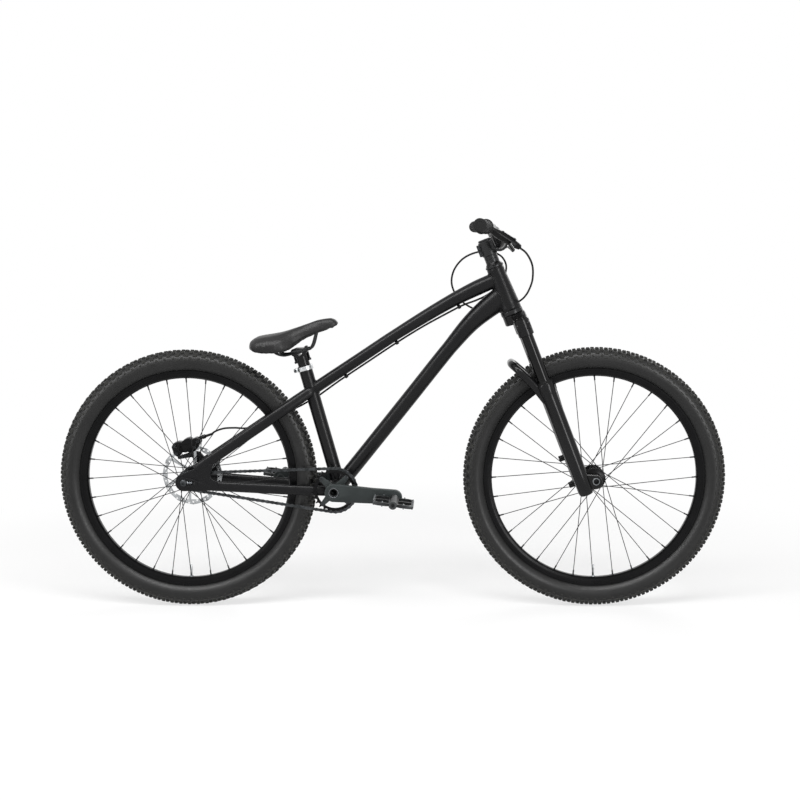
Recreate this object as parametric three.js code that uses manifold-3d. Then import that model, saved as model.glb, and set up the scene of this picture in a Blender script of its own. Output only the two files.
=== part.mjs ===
// Dirt jump bike, in millimetres. X points ahead, Y to the rider's left, Z up.
// The origin is on the ground, midway between the two axles.
import * as THREE from 'three';
import { mergeVertices } from 'three/addons/utils/BufferGeometryUtils.js';
import Module from 'manifold-3d';

const wasm = await Module();
wasm.setup();

// Driving dimensions
const gap = 0.3;
const overrun = 4;
const tyreRadius = 336;
const frontCentre = 665.2;
const bracketDrop = 25;
const chainPitch = 12.7;
const chainLinks = 80;
const ringTeeth = 28;
const cogTeeth = 10;
const chainLine = 45;
const headAngle = THREE.MathUtils.degToRad(69.3);
const seatAngle = THREE.MathUtils.degToRad(74.7);
const forkOffset = 46;
const crownOffset = 12.5;
const axleToCrown = 470;
const headTubeLength = 116;
const seatTubeLength = 322;
const seatTubeOffset = 8.9;
const crankLength = 155;
const crankDrop = THREE.MathUtils.degToRad(4.5);
const forkTravel = 100;

// Where the wheels and the bottom bracket lie: the chain sets the chainstay
const spareTeeth = 2 * chainLinks - ringTeeth - cogTeeth;
const toothDifference = ringTeeth - cogTeeth;
const chainstay = (chainPitch / 8) * (spareTeeth
  + Math.sqrt(spareTeeth ** 2 - (8 / Math.PI ** 2) * toothDifference ** 2));
const bottomBracketHeight = tyreRadius - bracketDrop;
const rearCentre = Math.sqrt(chainstay ** 2 - bracketDrop ** 2);
const wheelbase = rearCentre + frontCentre;
const rearAxle = new THREE.Vector3(-wheelbase / 2, 0, tyreRadius);
const frontAxle = new THREE.Vector3(wheelbase / 2, 0, tyreRadius);
const bracket = new THREE.Vector3(rearAxle.x + rearCentre, 0, bottomBracketHeight);

// The steering frame: its Z runs up the steerer, and the front axle lies forkOffset ahead of it
const frontEnd = new THREE.Group();
frontEnd.rotation.y = headAngle - Math.PI / 2;
frontEnd.position.set(forkOffset, 0, 0).applyEuler(frontEnd.rotation).negate().add(frontAxle);
frontEnd.updateMatrixWorld();
const steeringPoint = (ahead, across, up) => new THREE.Vector3(ahead, across, up).applyMatrix4(frontEnd.matrix);

// The seat frame: its Z runs up the seat tube and starts at the middle of the seat collar
const seatEnd = new THREE.Group();
seatEnd.rotation.y = seatAngle - Math.PI / 2;
seatEnd.position.set(seatTubeOffset, 0, seatTubeLength).applyEuler(seatEnd.rotation).add(bracket);
seatEnd.updateMatrixWorld();
const seatPoint = (ahead, across, up) => new THREE.Vector3(ahead, across, up).applyMatrix4(seatEnd.matrix);

// A manifold solid from a closed geometry, with its faces turned outwards
function solid(geometry) {
  geometry.deleteAttribute('normal');
  geometry.deleteAttribute('uv');
  const merged = mergeVertices(geometry, 1e-3);
  const positions = merged.getAttribute('position').array;
  const corners = Array.from(merged.index.array);
  const triangles = [];
  let volume = 0;
  const corner = (index) => new THREE.Vector3().fromArray(positions, 3 * index);
  for (let i = 0; i < corners.length; i += 3) {
    const [a, b, c] = corners.slice(i, i + 3);
    if (a !== b && b !== c && c !== a) {
      triangles.push(a, b, c);
      volume += corner(a).dot(corner(b).cross(corner(c)));
    }
  }
  if (volume < 0) triangles.reverse();
  const mesh = new wasm.Mesh({
    numProp: 3,
    vertProperties: new Float32Array(positions),
    triVerts: new Uint32Array(triangles),
  });
  return new wasm.Manifold(mesh);
}

const join = (...solids) => solids.reduce((sum, next) => sum.add(next));
const cut = (base, ...cutters) => cutters.reduce((rest, cutter) => rest.subtract(cutter), base);

// Finishes, as plain colours
const finish = (color, roughness, metalness) => ({ color, roughness, metalness });
const mattBlack = finish(0x1c1c1d, 0.5, 0.2);
const glossBlack = finish(0x111213, 0.25, 0.4);
const anodisedBlack = finish(0x222426, 0.4, 0.6);
const rubber = finish(0x222221, 0.85, 0);
const castGrey = finish(0x2b2f2f, 0.55, 0.4);
const steel = finish(0x8d9092, 0.35, 0.9);
const silver = finish(0xc6c8ca, 0.3, 0.9);
const softBlack = finish(0x2a2a2a, 0.75, 0);

// A named mesh from a manifold solid, hung in a group
function piece(name, shape, look, parent) {
  const { vertProperties, triVerts } = shape.getMesh();
  const geometry = new THREE.BufferGeometry();
  geometry.setAttribute('position', new THREE.BufferAttribute(new Float32Array(vertProperties), 3));
  geometry.setIndex(new THREE.BufferAttribute(new Uint32Array(triVerts), 1));
  geometry.computeVertexNormals();
  const mesh = new THREE.Mesh(geometry, new THREE.MeshStandardMaterial(look));
  mesh.name = name;
  parent.add(mesh);
  return mesh;
}

// Turned solid: profile points are [radius, place along the axis]; the axis is Y, or Z where told
function turned(profile, sides, alongZ = false, phase = 0) {
  const points = profile.map(([radius, place]) => new THREE.Vector2(radius, place));
  const geometry = new THREE.LatheGeometry(points, sides, phase);
  if (alongZ) geometry.rotateX(Math.PI / 2);
  return solid(geometry);
}

// Closed ring profile: the first point is repeated at the end
const ringProfile = (points) => [...points, points[0]];
const rod = (radius, from, to, sides, alongZ = false) => turned(
  [[0, from], [radius, from], [radius, to], [0, to]], sides, alongZ);
const sleeve = (inner, outer, from, to, sides, alongZ = false) => turned(
  ringProfile([[inner, from], [outer, from], [outer, to], [inner, to]]), sides, alongZ);

// A plate: an outline in X and Z with a thickness from one Y to the other
function plate(outline, from, to, holes = []) {
  const shape = new THREE.Shape(outline.map(([x, z]) => new THREE.Vector2(x, z)));
  for (const hole of holes) shape.holes.push(new THREE.Path(hole.map(([x, z]) => new THREE.Vector2(x, z))));
  const geometry = new THREE.ExtrudeGeometry(shape, { depth: to - from, bevelEnabled: false });
  geometry.rotateX(Math.PI / 2).translate(0, to, 0);
  return solid(geometry);
}

const box = (low, high) => {
  const size = high.map((value, axis) => value - low[axis]);
  const centre = high.map((value, axis) => (value + low[axis]) / 2);
  return solid(new THREE.BoxGeometry(...size).translate(...centre));
};

const arc = (x, z, radius, fromDegrees, toDegrees, steps) => Array.from({ length: steps + 1 }, (_, i) => {
  const angle = THREE.MathUtils.degToRad(fromDegrees + ((toDegrees - fromDegrees) * i) / steps);
  return [x + radius * Math.cos(angle), z + radius * Math.sin(angle)];
});

// A solid swept along points, oval in section: height lies square to `beside`, width along it
function sweep({ points, heights, widths, beside = new THREE.Vector3(0, 1, 0), steps = 12, sides = 8, grow = 0 }) {
  const curve = new THREE.CatmullRomCurve3(points, false, 'centripetal');
  const last = points.length - 1;
  const at = (values, t) => {
    const place = Math.min(t * last, last - 1e-9);
    const whole = Math.floor(place);
    return THREE.MathUtils.lerp(values[whole], values[whole + 1], place - whole) + grow;
  };
  const positions = [];
  for (let step = 0; step <= steps; step += 1) {
    const t = step / steps;
    const centre = curve.getPoint(t);
    const tangent = curve.getTangent(t);
    const across = beside.clone().addScaledVector(tangent, -beside.dot(tangent)).normalize();
    const normal = new THREE.Vector3().crossVectors(tangent, across);
    for (let side = 0; side < sides; side += 1) {
      const angle = ((side + 0.5) / sides) * 2 * Math.PI;
      const point = centre.clone()
        .addScaledVector(normal, at(heights, t) * Math.cos(angle))
        .addScaledVector(across, at(widths, t) * Math.sin(angle));
      positions.push(point.x, point.y, point.z);
    }
  }
  return solid(ringMesh(positions, steps + 1, sides));
}

// Closed geometry through rings of equal point counts, with flat ends
function ringMesh(positions, rings, sides) {
  const index = [];
  for (let ring = 0; ring < rings - 1; ring += 1) {
    for (let side = 0; side < sides; side += 1) {
      const a = ring * sides + side;
      const b = ring * sides + ((side + 1) % sides);
      index.push(a, b, a + sides, b, b + sides, a + sides);
    }
  }
  const end = (rings - 1) * sides;
  for (let side = 1; side < sides - 1; side += 1) {
    index.push(0, side + 1, side);
    index.push(end, end + side, end + side + 1);
  }
  const geometry = new THREE.BufferGeometry();
  geometry.setAttribute('position', new THREE.Float32BufferAttribute(positions, 3));
  geometry.setIndex(index);
  return geometry;
}

// A round tube along a free route
function hose(points, radius, steps, sides) {
  const curve = new THREE.CatmullRomCurve3(points, false, 'centripetal');
  const section = new THREE.Shape();
  section.absarc(0, 0, radius, 0, 2 * Math.PI);
  const options = { steps, extrudePath: curve, bevelEnabled: false, curveSegments: sides / 2 };
  return solid(new THREE.ExtrudeGeometry(section, options));
}

const mirrorY = (shape) => shape.mirror([0, 1, 0]);
const moved = (shape, vector) => shape.translate(vector.x, vector.y, vector.z);
const sideNames = [['right', -1], ['left', 1]];

// Frame tubes
const tubing = {
  headTopRadius: 22, headBottomRadius: 27.5, headBoreTop: 18, headBoreBottom: 23.5, headSides: 16,
  topTubeJoin: 62, topTubeHead: 565, topTubeBow: 13, topTubeRear: 15, topTubeMiddle: 14.5, topTubeFront: 19.5,
  topTubeWide: 18,
  downTubeHead: 520, downTubeDrop: 5, downTubeBow: 19.4, downTubeRadius: 19, downTubeFront: 31, downTubeWide: 22,
  seatTubeRadius: 17.5, seatTubeBore: 15.8, seatTubeTop: 5, seatBoreDepth: 190,
  shellRadius: 21, shellBore: 17.5, shellHalf: 36.5, shellSides: 20,
};
const headBottom = axleToCrown + 9;
const headTop = headBottom + headTubeLength;

const onSteering = (shape) => shape.transform(frontEnd.matrix.toArray());
const onSeat = (shape) => shape.transform(seatEnd.matrix.toArray());

// A bowed centre line between two ends: shares along it and shares of its bow
function bowed(from, to, bow, shares) {
  const chord = to.clone().sub(from);
  const lift = new THREE.Vector3(-chord.z, 0, chord.x).normalize();
  return shares.map(([along, bowShare]) => from.clone()
    .addScaledVector(chord, along).addScaledVector(lift, bow * bowShare));
}

const topTubeLine = () => bowed(seatPoint(0, 0, -tubing.topTubeJoin), steeringPoint(0, 0, tubing.topTubeHead),
    tubing.topTubeBow, [[0, 0], [0.27, 0.55], [0.48, 0.95], [0.75, 1], [0.89, 0.6], [1, 0]]);

function topTube(grow) {
  const points = topTubeLine();
  const { topTubeRear: rear, topTubeMiddle: middle, topTubeFront: front, topTubeWide: wide } = tubing;
  return sweep({
    points, heights: [rear, middle, middle, (middle + front) / 2, front, front],
    widths: [rear, rear, rear, (rear + wide) / 2, wide, wide], steps: 10, sides: 10, grow,
  });
}

function downTube(grow) {
  const start = bracket.clone().add(new THREE.Vector3(0, 0, -tubing.downTubeDrop));
  const points = bowed(start, steeringPoint(0, 0, tubing.downTubeHead), tubing.downTubeBow,
    [[0, 0], [0.186, 0.24], [0.457, 0.62], [0.708, 0.98], [0.833, 1], [0.917, 0.62], [1, 0]]);
  const { downTubeRadius: thin, downTubeFront: front, downTubeWide: wide } = tubing;
  return sweep({
    points, heights: [thin, thin, thin, thin, (2 * thin + front) / 3, (thin + 2 * front) / 3, front],
    widths: [thin, thin, thin, thin, wide, wide, wide], steps: 12, sides: 10, grow,
  });
}

const seatTube = (grow) => onSeat(rod(tubing.seatTubeRadius + grow, -seatTubeLength, tubing.seatTubeTop, 16, true));
const bracketShell = (grow) => moved(rod(tubing.shellRadius + grow, -tubing.shellHalf - grow,
  tubing.shellHalf + grow, tubing.shellSides), bracket);

function frontTriangle(grow = 0) {
  const head = onSteering(turned([[0, headBottom - grow], [tubing.headBottomRadius + grow, headBottom - grow],
    [tubing.headBottomRadius + grow, headBottom + tubing.headBottomRadius], [tubing.headTopRadius + grow,
      headTop - tubing.headTopRadius], [tubing.headTopRadius + grow, headTop + grow], [0, headTop + grow]],
  tubing.headSides, true));
  return join(head, topTube(grow), downTube(grow), seatTube(grow), bracketShell(grow));
}

function hollowFrontTriangle() {
  const headBore = onSteering(turned([[0, headBottom - overrun], [tubing.headBoreBottom, headBottom - overrun],
    [tubing.headBoreBottom, headBottom + tubing.headBoreBottom], [tubing.headBoreTop, headTop - tubing.headBoreTop],
    [tubing.headBoreTop, headTop + overrun], [0, headTop + overrun]], tubing.headSides, true));
  const seatBore = onSeat(rod(tubing.seatTubeBore, -tubing.seatBoreDepth, tubing.seatTubeTop + overrun, 16, true));
  const shellBore = moved(rod(tubing.shellBore, -tubing.shellHalf - overrun, tubing.shellHalf + overrun,
    tubing.shellSides), bracket);
  return cut(frontTriangle(), headBore, seatBore, shellBore);
}

// Rear stays: chainstay, seat stay and dropout plate of one side, drawn for the left
const stays = {
  chainHalfHeight: 13, chainHalfWidth: 7.5, seatHalfHeight: 13.5, seatHalfWidth: 8,
  plateInner: 67.5, plateThickness: 7, tailRadius: 22, slotHalf: 5.4, slotFront: 24,
  brakeTabRadius: 8,
};

function chainstayTube() {
  // shares of the run from the bottom bracket to the axle, and places across
  const runShares = [[0.03, 28], [0.115, 33], [0.163, 36.5], [0.26, 43.5], [0.47, 52], [0.73, 60], [0.885, 65.5]];
  const low = new THREE.Vector3(bracket.x, 0, bracket.z - stays.chainHalfHeight / 2);
  const end = new THREE.Vector3(rearAxle.x, 0, rearAxle.z - stays.chainHalfHeight / 3);
  const points = runShares.map(([share, across]) => low.clone().lerp(end, share).setY(across));
  const same = (value) => points.map(() => value);
  return sweep({ points, heights: same(stays.chainHalfHeight), widths: same(stays.chainHalfWidth), steps: 12 });
}

function seatstayTube(grow = 0) {
  // shares of the run from the seat tube to the axle, and places across
  const runShares = [[0.02, 20], [0.07, 26], [0.14, 34], [0.21, 41.5], [0.29, 47], [0.4, 51], [0.65, 58], [0.86, 65]];
  const high = seatPoint(0, 0, -tubing.topTubeJoin);
  const end = new THREE.Vector3(rearAxle.x, 0, rearAxle.z + stays.tailRadius / 2);
  const points = runShares.map(([share, across]) => high.clone().lerp(end, share).setY(across));
  const same = (value) => points.map(() => value);
  return sweep({ points, heights: same(stays.seatHalfHeight), widths: same(stays.seatHalfWidth), steps: 12, grow });
}

function dropoutPlate() {
  const { x, z } = rearAxle;
  const radius = stays.tailRadius;
  const reach = 4.3 * radius;
  const outline = [
    ...arc(x, z, radius, 105, 275, 9),
    [x + 0.55 * reach, z - 0.98 * radius], [x + 0.9 * reach, z - 0.9 * radius], [x + 0.93 * reach, z + 0.1 * radius],
    [x + 0.74 * reach, z + 0.45 * radius], [x + 0.8 * reach, z + 2.15 * radius], [x + 0.6 * reach, z + 2.2 * radius],
  ];
  const half = stays.slotHalf;
  const slot = [...arc(x, z, half, 90, 270, 6), ...arc(x + stays.slotFront, z, half, -90, 90, 6)];
  return plate(outline, stays.plateInner, stays.plateInner + stays.plateThickness, [slot]);
}

function staysFor(side) {
  const left = cut(join(chainstayTube(), seatstayTube(), dropoutPlate()), frontTriangle(gap));
  const clearOfAxle = moved(rod(stays.slotHalf, stays.plateInner - 20, stays.plateInner + 20, 12), rearAxle);
  return side > 0 ? cut(left, clearOfAxle) : mirrorY(cut(left, clearOfAxle));
}

// Wheels
const wheel = {
  tyreHalfWidth: 28, treadHalf: 6, tyreHeight: 52, beadHalf: 14.5, tyreColumns: 44, carcass: 3.2,
  knobDepth: 2, rimSeat: 53, rimDepth: 21, rimHalf: 14.5, rimBedHalf: 7, rimColumns: 32,
  spokeCount: 32, spokeRadius: 1.3, spokeCross: 3, valveLength: 32, valveRadius: 3,
};
const beadRadius = tyreRadius - wheel.tyreHeight;
const rimOuter = tyreRadius - wheel.rimSeat;
const rimInner = rimOuter - wheel.rimDepth;

function tyre(grooveFirst) {
  const columns = wheel.tyreColumns;
  const outer = tyreRadius / Math.cos(Math.PI / columns);
  const half = wheel.tyreHalfWidth;
  const shoulder = outer - wheel.knobDepth;
  // one half of the section as [radius, across, how far a groove column drops in]
  const section = [
    [outer, wheel.treadHalf, 0], [shoulder - 1, 0.6 * half, 0], [outer - 0.4 * half, 0.91 * half, wheel.knobDepth],
    [outer - half, half, 0], [beadRadius, wheel.beadHalf, 0],
  ];
  const inside = [[beadRadius, wheel.beadHalf - wheel.carcass], [outer - half, half - wheel.carcass],
    [outer - 2 * wheel.carcass, 0.4 * half]];
  const ring = [...section.map(([r, y, d]) => [r, y, d]), ...inside.map(([r, y]) => [r, y, 0])];
  const loop = [...ring, ...ring.slice().reverse().map(([r, y, d]) => [r, -y, d])];
  const positions = [];
  for (let column = 0; column < columns; column += 1) {
    const angle = ((column + 0.5) / columns) * 2 * Math.PI;
    const groove = (column + (grooveFirst ? 1 : 0)) % 2;
    for (const [radius, across, drop] of loop) {
      const reach = radius - drop * groove;
      positions.push(reach * Math.sin(angle), across - Math.sign(across) * drop * groove, -reach * Math.cos(angle));
    }
  }
  return solid(closedRing(positions, columns, loop.length));
}

// Closed geometry whose rings run round and meet themselves
function closedRing(positions, rings, sides) {
  const index = [];
  for (let ring = 0; ring < rings; ring += 1) {
    for (let side = 0; side < sides; side += 1) {
      const next = ((ring + 1) % rings) * sides;
      const a = ring * sides + side;
      const b = ring * sides + ((side + 1) % sides);
      const c = next + side;
      const d = next + ((side + 1) % sides);
      index.push(a, b, c, b, d, c);
    }
  }
  const geometry = new THREE.BufferGeometry();
  geometry.setAttribute('position', new THREE.Float32BufferAttribute(positions, 3));
  geometry.setIndex(index);
  return geometry;
}

function rim() {
  const stretch = 1 / Math.cos(Math.PI / wheel.rimColumns);
  const inner = rimInner * stretch;
  const shoulderShare = 0.3;
  const shoulder = inner + shoulderShare * (rimOuter - inner);
  const profile = ringProfile([[inner, wheel.rimBedHalf], [inner, -wheel.rimBedHalf], [shoulder, -wheel.rimHalf],
    [rimOuter, -wheel.rimHalf], [rimOuter, wheel.rimHalf], [shoulder, wheel.rimHalf]]);
  const ring = turned(profile, wheel.rimColumns, false, Math.PI / wheel.rimColumns);
  const valve = rod(wheel.valveRadius, rimInner - wheel.valveLength, rimInner + overrun, 6, true);
  return join(ring, valve.rotate([0, 180 + 180 / wheel.rimColumns, 0]));
}

// Hub with its crossed spokes. Flange places are across the bike; ends are where the shell stops
function spokedHub({ flanges, ends, flangeRadius, shellRadius, endRadius, bore, mountRadius, mountEnd }) {
  const [rightEnd, leftEnd] = ends;
  const [right, left] = flanges;
  const thick = 3;
  const profile = [[0, rightEnd], [endRadius, rightEnd], [endRadius, right - 2 * thick], [flangeRadius, right - thick],
    [flangeRadius, right + thick], [shellRadius, right + 3 * thick], [shellRadius, left - 3 * thick],
    [flangeRadius, left - thick], [flangeRadius, left + thick], [mountRadius, left + 2 * thick], [mountRadius, mountEnd],
    [endRadius, mountEnd], [endRadius, leftEnd], [0, leftEnd]];
  const shell = turned(profile, 16);
  const perSide = wheel.spokeCount / 2;
  const spokes = [];
  const end = rimInner - 2 * gap;
  flanges.forEach((flange, flangeIndex) => {
    for (let i = 0; i < perSide; i += 1) {
      const leading = i % 2 === 0 ? 1 : -1;
      const start = ((i + flangeIndex / 2) / perSide) * 2 * Math.PI;
      const turn = ((leading * wheel.spokeCross) / perSide) * 2 * Math.PI;
      const from = new THREE.Vector3(0, 0, flangeRadius - thick).applyAxisAngle(new THREE.Vector3(0, 1, 0), start);
      from.y = flange + leading * (thick / 2 + wheel.spokeRadius / 2) * Math.sign(flange);
      const to = new THREE.Vector3(0, 0, end).applyAxisAngle(new THREE.Vector3(0, 1, 0), start + turn);
      to.y = Math.sign(flange) * wheel.spokeRadius;
      const step = to.clone().sub(from);
      const bar = rod(wheel.spokeRadius, 0, step.length(), 3);
      const turnBar = new THREE.Matrix4().makeRotationFromQuaternion(
        new THREE.Quaternion().setFromUnitVectors(new THREE.Vector3(0, 1, 0), step.clone().normalize()));
      spokes.push(bar.transform(turnBar.setPosition(from).toArray()));
    }
  });
  return cut(join(shell, ...spokes), rod(bore, rightEnd - overrun, leftEnd + overrun, 16));
}

const rear = {
  flanges: [-22, 33], ends: [-36, 57.5], flangeRadius: 24, shellRadius: 13, endRadius: 10.5, mountRadius: 18, mountEnd: 51,
  axleRadius: 5, axleSides: 12, spacerRadius: 9, driverEnd: -57.5, boltRadius: 8.5, boltLength: 7,
  rotorPlace: 52.2, rotorRadius: 80, rotorInner: 66, rotorThickness: 1.8, rotorHub: 24, rotorWaves: 12, rotorArms: 6,
};
const front = {
  flanges: [-27, 27], ends: [-54.6, 54.6], flangeRadius: 28, shellRadius: 17, endRadius: 15, mountRadius: 20, mountEnd: 39,
  axleRadius: 10,
};

function rotor() {
  const { rotorRadius: outer, rotorInner: inner, rotorHub: hub, rotorWaves: waves, rotorArms: arms } = rear;
  const wave = 2;
  const steps = waves * 3;
  const rim = (radius, sway) => Array.from({ length: steps }, (_, i) => {
    const angle = (i / steps) * 2 * Math.PI;
    const reach = radius - sway * (1 - Math.cos(waves * angle));
    return [reach * Math.cos(angle), reach * Math.sin(angle)];
  });
  const half = rear.rotorThickness / 2;
  const band = plate(rim(outer, wave / 2), -half, half, [rim(inner, -wave / 2).reverse()]);
  const centre = plate(arc(0, 0, hub, 360 / 16, 360, 15), -half, half);
  const spokes = Array.from({ length: arms }, (_, i) => {
    const angle = (i / arms) * 360;
    const lean = 12;
    const arm = plate([[lean, hub / 2], [lean, inner + wave], [lean - 7, inner + wave], [lean - 7, hub / 2]], -half, half);
    return arm.rotate([0, angle, 0]);
  });
  const whole = join(band, centre, ...spokes);
  return cut(whole, rod(rear.endRadius + gap, -overrun, overrun, 16)).translate(0, rear.rotorPlace, 0);
}

// Chain and sprockets
const chain = {
  rollerRadius: 4, plateHigh: 4.2, plateWaist: 2.9, innerHalf: 1.7, plateThickness: 2, sprocketHalf: 1.1,
  rollerSides: 4,
};
const pitchRadius = (teeth) => chainPitch / (2 * Math.sin(Math.PI / teeth));
const ringPitch = pitchRadius(ringTeeth);
const cogPitch = pitchRadius(cogTeeth);

// The chain's path: round the chainring, along the bottom, round the cog and back along the top.
// Each stretch is counted in links, so the rollers seat in both sprockets.
const chainAxis = rearAxle.clone().sub(bracket).normalize();
const chainLift = new THREE.Vector3(chainAxis.z, 0, -chainAxis.x);
const tangentLean = Math.asin((ringPitch - cogPitch) / chainstay);
const spanLinks = (chainstay * Math.cos(tangentLean)) / chainPitch;
const ringLinks = ((Math.PI + 2 * tangentLean) / (2 * Math.PI)) * ringTeeth;
const cogLinks = ((Math.PI - 2 * tangentLean) / (2 * Math.PI)) * cogTeeth;
const loopLinks = ringLinks + cogLinks + 2 * spanLinks;

// Point and outward direction at a count of links round the loop, from the top tangent of the chainring
function chainPlace(link) {
  let rest = (((link * loopLinks) / chainLinks) % loopLinks + loopLinks) % loopLinks;
  const onCircle = (centre, radius, angle) => {
    const outward = chainAxis.clone().multiplyScalar(Math.cos(angle)).addScaledVector(chainLift, Math.sin(angle));
    return { point: centre.clone().addScaledVector(outward, radius), outward };
  };
  const top = Math.PI / 2 - tangentLean;
  if (rest < ringLinks) return onCircle(bracket, ringPitch, top + (rest / ringTeeth) * 2 * Math.PI);
  rest -= ringLinks;
  const lowRing = onCircle(bracket, ringPitch, -top);
  const lowCog = onCircle(rearAxle, cogPitch, -top);
  if (rest < spanLinks) return { point: lowRing.point.lerp(lowCog.point, rest / spanLinks), outward: lowRing.outward };
  rest -= spanLinks;
  if (rest < cogLinks) return onCircle(rearAxle, cogPitch, -top + (rest / cogTeeth) * 2 * Math.PI);
  rest -= cogLinks;
  const highCog = onCircle(rearAxle, cogPitch, top);
  const highRing = onCircle(bracket, ringPitch, top);
  return { point: highCog.point.lerp(highRing.point, rest / spanLinks), outward: highRing.outward };
}

function chainLoop() {
  const strip = (from, to) => {
    const positions = [];
    const half = 2;
    for (let i = 0; i < chainLinks * half; i += 1) {
      const { point, outward } = chainPlace(i / half);
      const high = i % half === 0 ? chain.plateHigh : chain.plateWaist;
      for (const [reach, across] of [[high, from], [high, to], [-high, to], [-high, from]]) {
        const place = point.clone().addScaledVector(outward, reach);
        positions.push(place.x, across, place.z);
      }
    }
    return solid(closedRing(positions, chainLinks * half, 4));
  };
  const inner = chain.innerHalf;
  const outer = inner + chain.plateThickness;
  const rollers = Array.from({ length: chainLinks }, (_, i) => {
    const { point } = chainPlace(i);
    const reach = inner + chain.plateThickness / 2;
    return rod(chain.rollerRadius, -reach, reach, chain.rollerSides).translate(point.x, 0, point.z);
  });
  return join(strip(-outer, -inner), strip(inner, outer), ...rollers).translate(0, -chainLine, 0);
}

// Toothed outline about a centre; the first gap between teeth points at `phase`
function toothed(teeth, phase) {
  const radius = pitchRadius(teeth);
  const seat = chain.rollerRadius + gap;
  const tip = radius + 0.78 * chain.rollerRadius;
  const outline = [];
  for (let tooth = 0; tooth < teeth; tooth += 1) {
    const angle = phase + (tooth / teeth) * 2 * Math.PI;
    for (const spread of [-75, -35, 0, 35, 75]) {
      const turn = angle + Math.PI - THREE.MathUtils.degToRad(spread);
      outline.push([radius * Math.cos(angle) + seat * Math.cos(turn), radius * Math.sin(angle) + seat * Math.sin(turn)]);
    }
    for (const share of [0.43, 0.57]) {
      const turn = angle + (share / teeth) * 2 * Math.PI;
      outline.push([tip * Math.cos(turn), tip * Math.sin(turn)]);
    }
  }
  return outline;
}

const angleOf = (link, centre) => {
  const { point } = chainPlace(link);
  return Math.atan2(point.z - centre.z, point.x - centre.x);
};

// Cranks: drawn along +X from the bottom bracket, then turned with their group
const crank = {
  hubRadius: 23, endRadius: 19.5, faceIn: 72, faceOut: 88, bossIn: 49, bossRadius: 17, spindleRadius: 12,
  spindleSides: 12, cupRadius: 22, cupEnd: 45.8, cupBore: 15.3, bearingRadius: 15, bearingEnds: [38, 44], ringInner: 46, spiderIn: 46.4, spiderOut: 51,
  spiderReach: 50.5, spiderHalf: 8, spiderTurnShare: 37.5 / 360, pedalRod: 6.5, collarRadius: 9, collarEnd: 97.5, pedalEnd: 184,
  screwRadius: 9,
};

function crankArm() {
  const arm = plate([...arc(0, 0, crank.hubRadius, 90, 270, 8), ...arc(crankLength, 0, crank.endRadius, -90, 90, 8)],
    crank.faceIn, crank.faceOut);
  const boss = rod(crank.bossRadius, crank.bossIn, crank.faceIn + overrun, 16);
  const bore = rod(crank.spindleRadius + gap, crank.bossIn - overrun, crank.faceOut - overrun, crank.spindleSides);
  const hole = rod(crank.screwRadius, crank.faceOut - 2 * overrun, crank.faceOut + overrun, crank.spindleSides);
  const pedalHole = rod(crank.pedalRod + gap, crank.faceIn - overrun, crank.faceOut + overrun, crank.spindleSides)
    .translate(crankLength, 0, 0);
  return cut(join(arm, boss), bore, hole, pedalHole);
}

function spider() {
  const arms = [0, 1, 2, 3].map((i) => plate([[0, -crank.spiderHalf * 1.3], [crank.spiderReach, -crank.spiderHalf],
    [crank.spiderReach, crank.spiderHalf], [0, crank.spiderHalf * 1.3]], crank.spiderIn, crank.spiderOut)
    .rotate([0, 360 * crank.spiderTurnShare + 90 * i, 0]));
  return cut(join(...arms), rod(crank.spindleRadius + gap, 0, crank.faceOut, crank.spindleSides));
}

// Platform pedal about its own axle along Y, drawn for the left
const pedal = {
  half: 51, inner: 98, outer: 189, high: 8.5, bar: 7, barrel: 10.5, bore: 6.9, cornerCut: 14, midBar: 9,
  tilt: THREE.MathUtils.degToRad(7.5),
};

function pedalBody() {
  const { half, inner, outer, high, bar, cornerCut, midBar } = pedal;
  const outline = [[half, inner + cornerCut], [half, outer - cornerCut], [half - cornerCut, outer],
    [cornerCut - half, outer], [-half, outer - cornerCut], [-half, inner + cornerCut], [cornerCut - half, inner],
    [half - cornerCut, inner]];
  const window = (from, to) => {
    const [low, top] = [inner + bar, outer - bar];
    const slant = 0.6 * cornerCut;
    return [[from, low], [to - slant, low], [to, low + slant], [to, top - slant], [to - slant, top], [from, top]];
  };
  const right = window(midBar, half - bar);
  const left = right.map(([x, y]) => [-x, y]);
  const slab = (points, reach) => solid(new THREE.ExtrudeGeometry(
    new THREE.Shape(points.map(([x, y]) => new THREE.Vector2(x, y))), { depth: 2 * reach, bevelEnabled: false },
  ).translate(0, 0, -reach));
  const cage = cut(slab(outline, high), slab(right, high + overrun), slab(left, high + overrun));
  const barrel = rod(pedal.barrel, inner, outer, 12);
  const middle = (inner + outer) / 2;
  const crossBar = box([-half + bar / 2, middle - bar / 2, -high / 2], [half - bar / 2, middle + bar / 2, high / 2]);
  return cut(join(cage, barrel, crossBar), rod(pedal.bore, inner - overrun, outer - overrun, 12));
}

// Fork
const fork = {
  stanchionRadius: 16, legSpread: 65, legRadius: 20.5, sealHeight: 280, legBottom: -24, stanchionFoot: 150,
  legBore: 16.5, socketBottom: 409, socketTop: 452, socketRadius: 20, crownBottom: 443, crownTop: 468,
  crownHalfDepth: 19, bossRadius: 27, steererRadius: 14.3, steererBase: 19.5, steererTop: 660,
  archRadius: 9, archBack: -48, archTop: 351, lugRadius: 16, lugInner: 55, lugOuter: 72, capRadius: 18, capHigh: 3,
  knobRadius: 8, knobHigh: 5, tabRadius: 8, tabSpacing: 74.2, tabTop: 64, tabReach: -20, tabAcross: 60,
};

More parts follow.
